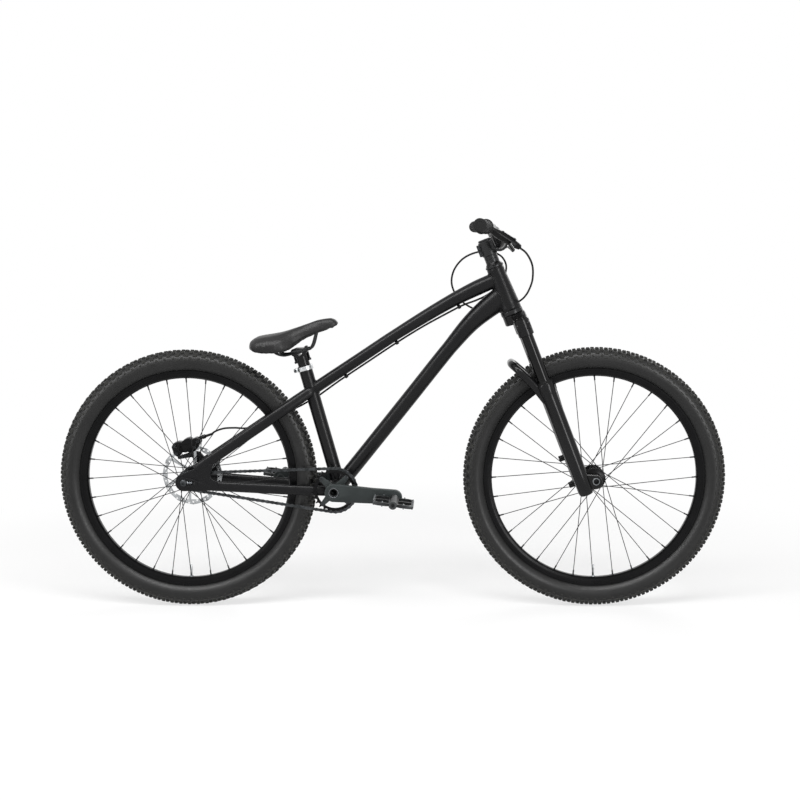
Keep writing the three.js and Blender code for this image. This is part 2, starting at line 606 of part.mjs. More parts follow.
function crown() {
  const spread = fork.legSpread;
  const wide = spread + fork.socketRadius;
  const outline = [[-wide, fork.socketBottom + 14], [-wide + 4, fork.socketTop - 10], [-fork.bossRadius, fork.crownTop],
    [fork.bossRadius, fork.crownTop], [wide - 4, fork.socketTop - 10], [wide, fork.socketBottom + 14],
    [spread - 4, fork.socketBottom + 14], [0.6 * spread, fork.crownBottom - 4], [0.3 * spread, fork.crownBottom],
    [-0.3 * spread, fork.crownBottom], [-0.6 * spread, fork.crownBottom - 4], [4 - spread, fork.socketBottom + 14]];
  const shape = new THREE.Shape(outline.map(([y, z]) => new THREE.Vector2(y, z)));
  const depth = 2 * fork.crownHalfDepth;
  const bar = new THREE.ExtrudeGeometry(shape, { depth, bevelEnabled: false });
  bar.translate(0, 0, crownOffset - fork.crownHalfDepth).rotateX(Math.PI / 2).rotateZ(Math.PI / 2);
  const sockets = [-1, 1].map((side) => rod(fork.socketRadius, fork.socketBottom, fork.socketTop, 14, true)
    .translate(crownOffset, side * spread, 0));
  const bores = [-1, 1].map((side) => rod(fork.stanchionRadius + gap, fork.socketBottom - overrun,
    fork.socketTop + 5 * overrun, 14, true).translate(crownOffset, side * spread, 0));
  const seats = [-1, 1].map((side) => rod(fork.capRadius + gap, fork.socketTop, fork.crownTop, 14, true)
    .translate(crownOffset, side * spread, 0));
  const boss = rod(fork.bossRadius, fork.crownBottom, fork.crownTop, 16, true);
  const bore = rod(fork.steererBase + gap, fork.crownBottom - overrun, fork.crownTop + overrun, 16, true);
  return cut(join(solid(bar), ...sockets, boss), ...bores, ...seats, bore);
}

const steerer = () => turned([[0, fork.crownBottom], [fork.steererBase, fork.crownBottom],
  [fork.steererBase, headBottom + 20], [fork.steererRadius, headBottom + 50], [fork.steererRadius, fork.steererTop],
  [0, fork.steererTop]], 16, true);

const stanchion = () => turned([[0, fork.stanchionFoot], [fork.stanchionRadius, fork.stanchionFoot],
  [fork.stanchionRadius, fork.socketTop + gap], [fork.capRadius, fork.socketTop + gap],
  [fork.capRadius, fork.socketTop + fork.capHigh], [fork.knobRadius, fork.socketTop + fork.capHigh],
  [fork.knobRadius, fork.socketTop + fork.knobHigh], [0, fork.socketTop + fork.knobHigh]], 14, true);

function lowers() {
  const spread = fork.legSpread;
  const legs = [-1, 1].map((side) => {
    const tube = turned([[0, fork.legBottom], [0.7 * fork.legRadius, fork.legBottom],
      [0.92 * fork.legRadius, fork.legBottom + 8], [fork.legRadius, 0.3 * fork.sealHeight],
      [fork.legRadius, 0.9 * fork.sealHeight], [1.08 * fork.legRadius, 0.93 * fork.sealHeight],
      [1.08 * fork.legRadius, fork.sealHeight], [0, fork.sealHeight]], 14, true).translate(crownOffset, side * spread, 0);
    const lug = plate([...arc(forkOffset, 0, fork.lugRadius, -100, 80, 8), [crownOffset, 2.2 * fork.lugRadius],
      [crownOffset, -1.1 * fork.lugRadius]], fork.lugInner, fork.lugOuter);
    return join(tube, side > 0 ? lug : mirrorY(lug));
  });
  const back = fork.archBack;
  const top = fork.archTop;
  const half = [[crownOffset - 9, spread - 1, 0.84 * fork.sealHeight], [back / 3, spread - 3, 1.03 * fork.sealHeight],
    [0.8 * back, 0.82 * spread, 0.955 * top], [0.97 * back, 0.5 * spread, 0.995 * top]];
  const points = [...half, [back, 0, top], ...half.slice().reverse().map(([x, y, z]) => [x, -y, z])]
    .map((place) => new THREE.Vector3(...place));
  const thick = [1.3, 1.05, 1, 1, 1, 1, 1, 1.05, 1.3].map((share) => share * fork.archRadius);
  const arch = sweep({
    points, heights: thick, widths: thick.map((value) => 0.85 * value), beside: new THREE.Vector3(0.8, 0, 0.6),
    steps: 16, sides: 8,
  });
  const tabs = [fork.tabTop, fork.tabTop - fork.tabSpacing].map((height) => rod(fork.tabRadius, fork.tabReach, 0, 8)
    .rotate([0, 0, -90]).translate(0, fork.tabAcross, height));
  const bores = [-1, 1].map((side) => rod(fork.legBore, fork.stanchionFoot - forkTravel - overrun,
    fork.sealHeight + overrun, 14, true).translate(crownOffset, side * spread, 0));
  const axleBore = rod(front.axleRadius + gap, -fork.lugOuter - overrun, fork.lugOuter + overrun, 16)
    .translate(forkOffset, 0, 0);
  return cut(join(...legs, arch, ...tabs), ...bores, axleBore);
}

// Headset, spacers and stem stack up the steerer
const stack = {
  lowerCup: [axleToCrown - 1.7, headBottom - gap], lowerOuter: 28.5, lowerBearingOuter: 25, lowerBearingInner: 20,
  cupHigh: 5, upperOuter: 23.5, upperBearingOuter: 20.5, upperBearingInner: 14.8, coverHigh: 8, coverOuter: 21,
  spacerHigh: 9, spacerOuter: 17.5, bore: 14.6, capHigh: 5, stemHigh: 38, stemRadius: 19.5, clampRadius: 22,
  clampHalf: 22, stemReach: 32, stemRise: 3, barRadius: 15.9,
};
const upperCupFoot = headTop + gap;
const coverFoot = upperCupFoot + stack.cupHigh + gap;
const spacerFoot = coverFoot + stack.coverHigh + gap;
const stemFoot = spacerFoot + 2 * (stack.spacerHigh + gap);
const stemTop = stemFoot + stack.stemHigh;
const clampHeight = stemFoot + stack.stemHigh / 2 + stack.stemRise;

function stem() {
  const body = rod(stack.stemRadius, stemFoot, stemTop, 16, true);
  const clamp = rod(stack.clampRadius, -stack.clampHalf, stack.clampHalf, 16)
    .translate(stack.stemReach, 0, clampHeight);
  const half = stack.clampHalf - 4;
  const bridge = box([0, -half, clampHeight - 0.7 * stack.clampRadius],
    [stack.stemReach, half, clampHeight + 0.7 * stack.clampRadius]);
  const ears = box([-stack.stemRadius - 6, -9, stemFoot + 3], [0, 9, stemTop - 3]);
  const slot = box([-stack.stemRadius - 10, -1, stemFoot - overrun], [0, 1, stemTop + overrun]);
  const bore = rod(stack.bore, stemFoot - overrun, stemTop + overrun, 16, true);
  const capSeat = rod(stack.spacerOuter + gap, stemTop, stemTop + stack.clampRadius, 16, true);
  return cut(join(body, clamp, bridge, ears), slot, bore, capSeat, barBore(), faceHalf(0));
}

const barBore = () => rod(stack.barRadius + 2 * gap, -stack.clampHalf - overrun, stack.clampHalf + overrun, 20)
  .translate(stack.stemReach, 0, clampHeight);
const faceHalf = (from) => box([stack.stemReach + from, -2 * stack.clampHalf, stemFoot - 2 * stack.clampRadius],
  [stack.stemReach + 2 * stack.clampRadius, 2 * stack.clampHalf, stemTop + 2 * stack.clampRadius]);

function faceplate() {
  const ring = rod(stack.clampRadius, -stack.clampHalf, stack.clampHalf, 16)
    .translate(stack.stemReach, 0, clampHeight);
  return cut(ring, barBore()).intersect(faceHalf(1));
}

// Handlebar: places from the middle of the stem's clamp, in the steering frame
const bar = {
  half: 372, bendStart: 38, bendEnd: 112, rise: 41, gripRise: 59, gripBack: -37, bendBack: -7, endRadius: 11.1,
  gripInner: 245, gripRadius: 15.5, flangeRadius: 18, flangeThick: 4, barBore: 11.6, endWall: 3, endRound: 2,
};
const barMiddle = new THREE.Vector3(stack.stemReach, 0, clampHeight);
const gripAxis = (side) => new THREE.Vector3(bar.gripBack - bar.bendBack, side * (bar.half - bar.bendEnd),
  bar.gripRise - bar.rise).normalize();

// Point on the bar's straight grip part at a distance across
function barPlace(across) {
  const share = (Math.abs(across) - bar.bendEnd) / (bar.half - bar.bendEnd);
  return new THREE.Vector3(bar.bendBack + share * (bar.gripBack - bar.bendBack), across,
    bar.rise + share * (bar.gripRise - bar.rise)).add(barMiddle);
}

function handlebar() {
  const half = [[0, 0, 0], [0, bar.bendStart, 0], [-1, bar.bendStart + 18, 4], [0.6 * bar.bendBack,
    bar.bendEnd - 18, 0.83 * bar.rise], [bar.bendBack, bar.bendEnd, bar.rise]]
    .map((place) => new THREE.Vector3(...place).add(barMiddle));
  const left = [...half, barPlace(0.5 * bar.half), barPlace(0.75 * bar.half), barPlace(bar.half)];
  const right = left.slice(1).reverse().map((place) => place.clone().setY(-place.y));
  const [thick, thin] = [stack.barRadius, bar.endRadius];
  const radii = [thick, thick, thick, (thick + thin) / 2, thin, thin, thin, thin];
  const both = [...radii.slice(1).reverse(), ...radii];
  return sweep({
    points: [...right, ...left], heights: both, widths: both, beside: new THREE.Vector3(1, 0, 0), steps: 28, sides: 10,
  });
}

// Place a solid whose axis is Y from zero outwards along the grip of one side
function alongGrip(shape, side, across) {
  const turn = new THREE.Quaternion().setFromUnitVectors(new THREE.Vector3(0, side, 0), gripAxis(side));
  const matrix = new THREE.Matrix4().makeRotationFromQuaternion(turn).setPosition(barPlace(side * across));
  const facing = side > 0 ? shape : mirrorY(shape);
  return facing.transform(matrix.toArray());
}

function grip() {
  const { gripRadius: radius, flangeRadius: flange, flangeThick: thick, barBore: inner } = bar;
  const barEnd = (bar.half - bar.gripInner) / gripAxis(1).y + gap;
  return turned([[0, barEnd], [inner, barEnd], [inner, 0], [flange, 0], [flange, thick], [radius, thick],
    [radius, barEnd + gap], [radius - bar.endRound, barEnd + bar.endWall], [0, barEnd + bar.endWall]], 12);
}

const cable = {
  radius: 2.5, sides: 6, underTube: 4.2, clipBore: 3.1, clipOuter: 5.2, clipHalf: 4, clipWeb: 2.5,
  meetShare: 0.001, leadShare: 0.03, unit: 100,
};

// Brake lever on the right: clamp and master cylinder, then the blade on its own pivot
const lever = {
  clampAcross: 232, clampHalf: 8, clampRadius: 15.5, bodyRadius: 11, bodyTip: 7, bladeLength: 105, bladeHalf: 5,
  bladeThick: 3.5, pivotRadius: 3.2, range: 20,
};
const steeringShares = (unit, shares) => steeringPoint(...shares.map((share) => unit * share));
const masterTip = steeringShares(cable.unit, [0.6816, -2.12, 6.2448]);
const leverPivot = steeringShares(cable.unit, [0.4957, -2.28, 6.3471]);
const leverAxis = new THREE.Vector3(-0.8588, 0, -0.5123).applyEuler(frontEnd.rotation).normalize();

function masterCylinder() {
  const toLocal = frontEnd.matrix.clone().invert();
  const base = barPlace(-lever.clampAcross);
  const clamp = alongGrip(rod(lever.clampRadius, -lever.clampHalf, lever.clampHalf, 12), -1, lever.clampAcross);
  const tip = masterTip.clone().applyMatrix4(toLocal);
  const start = base.clone().lerp(tip, 0.12);
  const body = sweep({
    points: [start, base.clone().lerp(tip, 0.4), base.clone().lerp(tip, 0.8), tip],
    heights: [lever.bodyRadius, lever.bodyRadius, 0.9 * lever.bodyRadius, lever.bodyTip],
    widths: [lever.bodyRadius, 1.2 * lever.bodyRadius, lever.bodyRadius, lever.bodyTip], steps: 5, sides: 8,
  });
  const hole = alongGrip(rod(bar.barBore, -4 * lever.clampHalf, 4 * lever.clampHalf, 12), -1, lever.clampAcross);
  const pocket = rod(lever.pivotRadius + 6, -lever.bladeHalf - gap, lever.bladeHalf + gap, 10);
  return cut(join(clamp, body), hole, leverFrame(pocket, toLocal));
}

// Puts a solid drawn about the pivot, its axis on Y, into a frame given by a matrix
function leverFrame(shape, matrix) {
  const turn = new THREE.Quaternion().setFromUnitVectors(new THREE.Vector3(0, 1, 0), leverAxis);
  const place = new THREE.Matrix4().makeRotationFromQuaternion(turn).setPosition(leverPivot);
  return shape.transform(matrix.clone().multiply(place).toArray());
}

// Lever blade with its pivot barrel, in the frame of the whole bike
function leverBlade() {
  // shares of the blade's length, from the pivot, in the steering frame
  const shares = [[0, 0, 0], [-0.008, -0.114, 0.033], [-0.031, -0.362, 0.052], [-0.05, -0.686, 0.029], [-0.025, -1, -0.092]];
  const points = shares.map((share) => new THREE.Vector3(...share).multiplyScalar(lever.bladeLength)
    .applyEuler(frontEnd.rotation).add(leverPivot));
  const thick = points.map(() => lever.bladeThick);
  const wide = points.map(() => lever.bladeHalf);
  const blade = sweep({ points, heights: thick, widths: wide, beside: leverAxis, steps: 10, sides: 6 });
  const barrel = rod(2 * lever.pivotRadius, -lever.bladeHalf, lever.bladeHalf, 10);
  return join(blade, leverFrame(barrel, new THREE.Matrix4()));
}

// Saddle and its rails, in the seat frame
const saddle = {
  rear: -120, nose: 114, rearWidth: 66, high: 109, railSpread: 22, railHeight: 44, railRadius: 3.5, straightHalf: 30,
};

function saddleShell() {
  // shares of the length from the rear, of the half width, and of the height for the top and the skirt
  const sectionShares = [
    [0, 0.5, 0.881, 0.752], [0.04, 0.82, 0.972, 0.633], [0.1, 0.97, 1, 0.55], [0.18, 1, 0.982, 0.514],
    [0.27, 0.98, 0.954, 0.505], [0.36, 0.84, 0.94, 0.523], [0.46, 0.62, 0.945, 0.578],
    [0.56, 0.46, 0.954, 0.642], [0.66, 0.38, 0.968, 0.697], [0.76, 0.335, 0.982, 0.725],
    [0.86, 0.31, 0.991, 0.734], [0.93, 0.28, 0.977, 0.743], [0.98, 0.2, 0.917, 0.752],
    [1, 0.1, 0.844, 0.771],
  ];
  const length = saddle.nose - saddle.rear;
  // one half of a section: share of the half width, share of the height from skirt to top
  const halfShares = [[0, 0.985], [0.35, 1], [0.68, 0.93], [0.9, 0.72], [1, 0.42], [0.96, 0.12], [0.86, 0], [0.7, 0.1],
    [0.45, 0.34], [0, 0.42]];
  const loopShares = [...halfShares, ...halfShares.slice(1, -1).reverse().map(([across, up]) => [-across, up])];
  const positions = [];
  for (const [along, wide, top, skirt] of sectionShares) {
    for (const [across, up] of loopShares) {
      positions.push(saddle.rear + along * length, across * wide * saddle.rearWidth,
        saddle.high * (skirt + up * (top - skirt)));
    }
  }
  return cut(solid(ringMesh(positions, sectionShares.length, loopShares.length)), rails(gap));
}

function rails(grow = 0) {
  const { railSpread: spread, railHeight: height, straightHalf: half } = saddle;
  // shares of the straight half along, of the spread across and of the straight half up
  const sideShares = [[-2.4, 1.5, 1.1], [-1.9, 1.4, 0.4], [-1.4, 1.12, 0.067], [-1, 1, 0], [-0.8, 1, 0], [0.8, 1, 0],
    [1, 1, 0], [1.3, 0.9, 0.3], [1.8, 0.6, 1.133], [2.1, 0.25, 1.567]];
  const side = sideShares.map(([along, across, up]) => [along * half, across * spread, height + up * half]);
  const points = [...side, ...side.slice().reverse().map(([x, y, z]) => [x, -y, z])]
    .map((place) => new THREE.Vector3(...place));
  return hose(points, saddle.railRadius + grow, 38, 6);
}

// Seatpost, its cradles and the collar, in the seat frame
const seat = {
  postRadius: 15.45, postInsert: 120, collarLow: -8, collarHigh: 7, collarRadius: 20.8, collarGap: 0.3,
  cradleLow: 30, cradleHalfLength: 21, cradleHalfWidth: 28, upperHigh: 54, boltRadius: 2.8, boltPlace: 18,
  earReach: 9, earHalf: 8,
};

function seatpost() {
  const post = rod(seat.postRadius, -seat.postInsert, seat.cradleLow + 3, 16, true);
  const { cradleHalfLength: long, cradleLow: low } = seat;
  const top = saddle.railHeight;
  const block = plate([[-long, top - 5], [-0.6 * long, low], [0.6 * long, low], [long, top - 5], [long, top],
    [-long, top]], -seat.cradleHalfWidth, seat.cradleHalfWidth);
  return cut(join(post, block), ...railGrooves(), ...boltRods(gap));
}

const railGrooves = () => [-1, 1].map((side) => rod(saddle.railRadius + 2 * gap, -saddle.straightHalf, saddle.straightHalf, 8)
  .rotate([0, 0, -90]).translate(0, side * saddle.railSpread, saddle.railHeight));
const boltRods = (grow) => [-1, 1].map((end) => rod(seat.boltRadius + grow, seat.cradleLow - 12, seat.upperHigh - 1, 8,
  true).translate(end * seat.boltPlace, 0, 0));

function upperCradle() {
  const { cradleHalfLength: long, upperHigh: high } = seat;
  const foot = saddle.railHeight + gap;
  const block = plate([[-long, foot], [long, foot], [long, foot + 4], [0.4 * long, high - 4], [-0.4 * long, high],
    [-long, high - 3]], -seat.cradleHalfWidth + 3, seat.cradleHalfWidth - 3);
  return join(cut(block, ...railGrooves()), ...boltRods(0));
}

function collar() {
  const outer = sleeve(tubing.seatTubeRadius + seat.collarGap, seat.collarRadius, seat.collarLow, seat.collarHigh - 3,
    20, true);
  const ears = box([-seat.collarRadius - seat.earReach, -seat.earHalf, seat.collarLow + 1],
    [-tubing.seatTubeRadius - 1, seat.earHalf, seat.collarHigh - 4]);
  const slot = box([-seat.collarRadius - 2 * seat.earReach, -1, seat.collarLow - overrun],
    [-tubing.seatTubeRadius + overrun, 1, seat.collarHigh + overrun]);
  const bolt = rod(2.5, -seat.earHalf - 3, seat.earHalf + 2, 8)
    .translate(-seat.collarRadius - seat.earReach / 2, 0, (seat.collarLow + seat.collarHigh - 3) / 2);
  const inside = rod(tubing.seatTubeRadius + seat.collarGap, seat.collarLow - overrun, seat.collarHigh + overrun, 20,
    true);
  return join(cut(join(outer, ears), slot, inside), bolt);
}

// Rear brake caliper over the rotor, and the bracket that carries it on the left stays
const brake = {
  turnShare: 0.3, inner: 58, outer: 97, back: -26, ahead: 40, faceIn: 38, faceOut: 69, slotHalf: 1.6, pistonRadius: 12,
  bracketIn: 58, bracketOut: 66, bracketFoot: 50, fittingRadius: 4.5, fittingEnd: 78, fittingHeight: 86,
  fittingAcross: 54,
};

function caliper() {
  const { inner, outer, back, ahead } = brake;
  const outline = [[back, inner + 6], [back + 6, inner], [ahead - 12, inner], [ahead, inner + 14], [ahead + 8, outer - 16],
    [ahead - 6, outer - 4], [0, outer], [back + 8, outer - 2], [back, outer - 10]];
  const body = plate(outline, brake.faceIn, brake.faceOut);
  const piston = rod(brake.pistonRadius, brake.faceOut - overrun, brake.faceOut + 6, 12)
    .translate(2, 0, (inner + outer) / 2 - 6);
  const fitting = rod(brake.fittingRadius, 0, brake.fittingEnd, 8).rotate([0, 0, -90])
    .translate(0, brake.fittingAcross, brake.fittingHeight);
  const slot = rod(rear.rotorRadius + 2, rear.rotorPlace - brake.slotHalf, rear.rotorPlace + brake.slotHalf, 32);
  return placedAtBrake(cut(join(body, piston, fitting), slot));
}

// Turns what is drawn with Z along the radius of the rotor to the caliper's place
const placedAtBrake = (shape) => moved(shape.rotate([0, 90 - 360 * brake.turnShare, 0]), rearAxle);

function caliperBracket() {
  const { back, ahead, bracketIn, bracketOut, bracketFoot: foot } = brake;
  const top = brake.inner - gap;
  const arm = placedAtBrake(plate([[back + 2, top], [back + 2, top - 8], [ahead - 28, foot - 6], [ahead - 16, foot - 30],
    [ahead + 6, foot - 20], [ahead - 2, foot], [ahead - 14, top]], bracketIn, bracketOut));
  return cut(arm, seatstayTube(gap));
}

// Where the brake hose runs. The front stretch goes from the master cylinder past the front of the head
// tube, up in a loop behind the stem and down the left of the head tube to the first clip.
// Its points are shares of one unit in the steering frame
const frontRouteShares = [
  [0.684, -2.12, 6.223], [0.77, -2.02, 6.083], [0.83, -1.68, 5.761], [0.743, -1.12, 5.388], [0.591, -0.62, 5.157],
  [0.419, -0.26, 5.04], [0.33, 0.04, 4.945], [0.15, 0.31, 4.895], [-0.104, 0.46, 4.874], [-0.397, 0.55, 4.889],
  [-0.734, 0.6, 5.016], [-0.988, 0.62, 5.251], [-1.165, 0.62, 5.574], [-1.175, 0.61, 5.942], [-0.999, 0.6, 6.239],
  [-0.669, 0.58, 6.434], [-0.275, 0.56, 6.457], [0.046, 0.53, 6.346], [0.266, 0.47, 6.135], [0.297, 0.42, 5.877],
  [0.16, 0.39, 5.629], [-0.126, 0.36, 5.438], [-0.465, 0.32, 5.331], [-0.866, 0.2, 5.29],
];

// A place under the top tube, by the share of its length from the seat tube
function underTopTube(share) {
  const curve = new THREE.CatmullRomCurve3(topTubeLine(), false, 'centripetal');
  const { topTubeMiddle: middle, topTubeFront: thick } = tubing;
  const high = THREE.MathUtils.lerp(middle, thick, THREE.MathUtils.smoothstep(share, 0.5, 0.9));
  const tangent = curve.getTangentAt(share);
  const down = new THREE.Vector3(tangent.z, 0, -tangent.x);
  return curve.getPointAt(share).addScaledVector(down, high + cable.underTube);
}

// shares of the top tube's line where the hose is clipped
const clipShares = [0.78, 0.45, 0.17];
// The rear stretch follows the left seat stay to the caliper: shares of the stay's run, then of one unit
// square to it and across the bike
const besideStayShares = [
  [-0.0786, 0.221, 0.22], [-0.001, 0.224, 0.31], [0.0799, 0.194, 0.38], [0.1573, 0.162, 0.5], [0.2324, 0.099, 0.57],
  [0.3131, 0.033, 0.605], [0.4202, -0.058, 0.64], [0.5202, -0.153, 0.65], [0.591, -0.363, 0.62], [0.6481, -0.51, 0.58],
  [0.7036, -0.579, 0.55], [0.7343, -0.579, 0.54],
];
const besideStay = ([along, square, across]) => {
  const from = seatPoint(0, 0, -tubing.topTubeJoin);
  const run = rearAxle.clone().sub(from);
  const down = new THREE.Vector3(-run.z, 0, run.x).normalize();
  return from.addScaledVector(run, along).addScaledVector(down, cable.unit * square).setY(cable.unit * across);
};
const rearRoute = () => [
  underTopTube(clipShares[0] - cable.meetShare), underTopTube(0.6), underTopTube(clipShares[1]), underTopTube(0.3),
  underTopTube(clipShares[2]), underTopTube(0.14), ...besideStayShares.map(besideStay),
];
const frontRoute = () => frontRouteShares.map((shares) => steeringShares(cable.unit, shares));
const frontStretch = () => hose([...frontRoute(), underTopTube(clipShares[0] + cable.leadShare),
  underTopTube(clipShares[0] + cable.meetShare)], cable.radius, 72, cable.sides);
const rearStretch = () => hose(rearRoute(), cable.radius, 40, cable.sides);

// A clip round the hose, with a web up to the underside of the top tube
function hoseClip(share) {
  const place = underTopTube(share);
  const run = underTopTube(share + 0.01).sub(underTopTube(share - 0.01)).normalize();
  const ring = rod(cable.clipOuter, -cable.clipHalf, cable.clipHalf, 10);
  const web = box([-cable.clipWeb, -cable.clipHalf, 0], [cable.clipWeb, cable.clipHalf, 3 * cable.clipOuter]);
  const hole = rod(cable.clipBore, -2 * cable.clipHalf, 2 * cable.clipHalf, 12);
  const up = new THREE.Vector3(0, 1, 0).cross(run).negate();
  const frame = new THREE.Matrix4().makeBasis(up.clone().cross(run).negate(), run, up).setPosition(place);
  return cut(cut(join(ring, web), hole).transform(frame.toArray()), topTube(gap));
}

// Rear axle with its spacers and the heads of its bolts, through both dropouts
const plateOuter = stays.plateInner + stays.plateThickness;
const axleRod = () => turned([[0, -plateOuter - rear.boltLength], [rear.boltRadius, -plateOuter - rear.boltLength],
  [rear.boltRadius, -plateOuter - gap], [rear.axleRadius, -plateOuter - gap],
  [rear.axleRadius, gap - stays.plateInner], [rear.spacerRadius, gap - stays.plateInner],
  [rear.spacerRadius, rear.driverEnd - gap], [rear.axleRadius, rear.driverEnd - gap],
  [rear.axleRadius, rear.ends[1] + gap], [rear.spacerRadius, rear.ends[1] + gap],
  [rear.spacerRadius, stays.plateInner - gap], [rear.axleRadius, stays.plateInner - gap],
  [rear.axleRadius, plateOuter + gap], [rear.boltRadius, plateOuter + gap],
  [rear.boltRadius, plateOuter + rear.boltLength], [0, plateOuter + rear.boltLength]], rear.axleSides);

const tensionScrew = (side) => rod(0.85 * stays.slotHalf, rear.spacerRadius + gap, stays.slotFront - gap, 8)
  .rotate([0, 0, -90]).translate(0, side * (stays.plateInner + stays.plateThickness / 2), 0);

function cog() {
  const phase = angleOf(Math.ceil(ringLinks + spanLinks), rearAxle);
  const teeth = plate(toothed(cogTeeth, phase), -chain.sprocketHalf, chain.sprocketHalf).translate(0, -chainLine, 0);
  const driver = rod(0.68 * cogPitch, rear.driverEnd, rear.ends[0] - gap, 16);
  return cut(join(teeth, driver), rod(rear.axleRadius + gap, rear.driverEnd - overrun, overrun, 16));
}

function chainring() {
  const phase = angleOf(Math.ceil(ringLinks / 2), bracket);
  const inside = arc(0, 0, crank.ringInner, 360, 0, 36).slice(1);
  return plate(toothed(ringTeeth, phase), -chain.sprocketHalf, chain.sprocketHalf, [inside])
    .translate(0, -chainLine, 0);
}

const pedalAxle = () => turned([[0, crank.faceIn], [crank.pedalRod, crank.faceIn], [crank.pedalRod, crank.faceOut + gap],
  [crank.collarRadius, crank.faceOut + gap], [crank.collarRadius, crank.collarEnd], [crank.pedalRod, crank.collarEnd],
  [crank.pedalRod, crank.pedalEnd], [0, crank.pedalEnd]], crank.spindleSides).translate(crankLength, 0, 0);

const spindle = () => rod(crank.spindleRadius, gap + overrun - crank.faceOut, crank.faceOut - overrun - gap,
  crank.spindleSides);

// Thru axle with the ring seen at its right end
const thruAxle = () => turned([[0, -fork.lugOuter], [front.axleRadius, -fork.lugOuter],
  [front.axleRadius, fork.lugOuter], [0, fork.lugOuter]], 16).translate(forkOffset, 0, 0);

const twoSided = (shape, side) => (side > 0 ? shape : mirrorY(shape));
const groupAt = (position, turn = 0) => {
  const group = new THREE.Group();
  group.position.copy(position);
  group.rotation.y = turn;
  bike.add(group);
  return group;
};

// Everything hangs in one group
const bike = new THREE.Group();
bike.add(frontEnd, seatEnd);

// Frame, with the parts that stay with it
piece('front_triangle', hollowFrontTriangle(), mattBlack, bike);
for (const [name, side] of sideNames) {
  piece(`${name}_stays`, staysFor(side), mattBlack, bike);
}
piece('lower_cup', sleeve(stack.lowerBearingOuter + gap, stack.lowerOuter, ...stack.lowerCup, 16, true), anodisedBlack,
  frontEnd);
piece('lower_bearing', sleeve(stack.lowerBearingInner, stack.lowerBearingOuter, stack.lowerCup[0] + 1,
  stack.lowerCup[1] - gap, 16, true), steel, frontEnd);
piece('upper_cup', sleeve(stack.upperBearingOuter + gap, stack.upperOuter, upperCupFoot, upperCupFoot + stack.cupHigh,
  16, true), anodisedBlack, frontEnd);
piece('upper_bearing', sleeve(stack.upperBearingInner, stack.upperBearingOuter, upperCupFoot + gap,
  upperCupFoot + stack.cupHigh - gap, 16, true), steel, frontEnd);
piece('seat_collar', collar(), silver, seatEnd);

// Seatpost and saddle
piece('seatpost', seatpost(), mattBlack, seatEnd);
piece('saddle_clamp', upperCradle(), anodisedBlack, seatEnd);
piece('saddle_rails', rails(), glossBlack, seatEnd);
piece('saddle', saddleShell(), softBlack, seatEnd);

// Wheels
const wheels = { front: groupAt(frontAxle), rear: groupAt(rearAxle) };
for (const [name, hub] of [['front', front], ['rear', rear]]) {
  piece(`${name}_tyre`, tyre(name === 'rear'), rubber, wheels[name]);
  piece(`${name}_rim`, rim(), anodisedBlack, wheels[name]);
  piece(`${name}_hub`, spokedHub({ ...hub, bore: hub.axleRadius + gap }), anodisedBlack, wheels[name]);
}
piece('brake_rotor', rotor(), steel, wheels.rear);
piece('rear_axle', axleRod(), steel, wheels.rear);
piece('cog', cog(), steel, wheels.rear);
for (const [name, side] of sideNames) {
  piece(`${name}_tension_screw`, tensionScrew(side), silver, wheels.rear);
}

// Bottom bracket, cranks, chain and pedals
const drive = groupAt(bracket);
piece('chainring', chainring(), steel, drive);
piece('chain', chainLoop(), steel, bike);
const crankSet = groupAt(bracket, crankDrop);
piece('crank_spindle', spindle(), steel, crankSet);
for (const [name, side] of sideNames) {
  const place = [side * crank.cupEnd, side * (tubing.shellHalf + gap)].sort((a, b) => a - b);
  piece(`${name}_bottom_cup`, sleeve(crank.cupBore, crank.cupRadius, ...place, 20), anodisedBlack, drive);
  const race = crank.bearingEnds.map((end) => side * end).sort((a, b) => a - b);
  piece(`${name}_bottom_bearing`, sleeve(crank.spindleRadius + 3 * gap, crank.bearingRadius, ...race, crank.spindleSides),
    steel, crankSet);
  const arm = side > 0 ? crankArm().rotate([0, 180, 0]) : mirrorY(join(crankArm(), spider()));
  piece(`${name}_crank`, arm, castGrey, crankSet);
  const axle = side > 0 ? pedalAxle().rotate([0, 180, 0]) : mirrorY(pedalAxle());
  piece(`${name}_pedal_axle`, axle, steel, crankSet);
  const pedalGroup = groupAt(new THREE.Vector3(-side * crankLength, 0, 0).applyEuler(crankSet.rotation).add(bracket),
    pedal.tilt);
  piece(`${name}_pedal`, twoSided(pedalBody(), side), mattBlack, pedalGroup);
}

// Fork
piece('fork_crown', crown(), castGrey, frontEnd);
piece('steerer_tube', steerer(), anodisedBlack, frontEnd);
for (const [name, side] of sideNames) {
  piece(`${name}_stanchion`, stanchion().translate(crownOffset, side * fork.legSpread, 0), anodisedBlack, frontEnd);
}
piece('fork_lowers', lowers(), mattBlack, frontEnd);
piece('front_axle', thruAxle(), anodisedBlack, frontEnd);

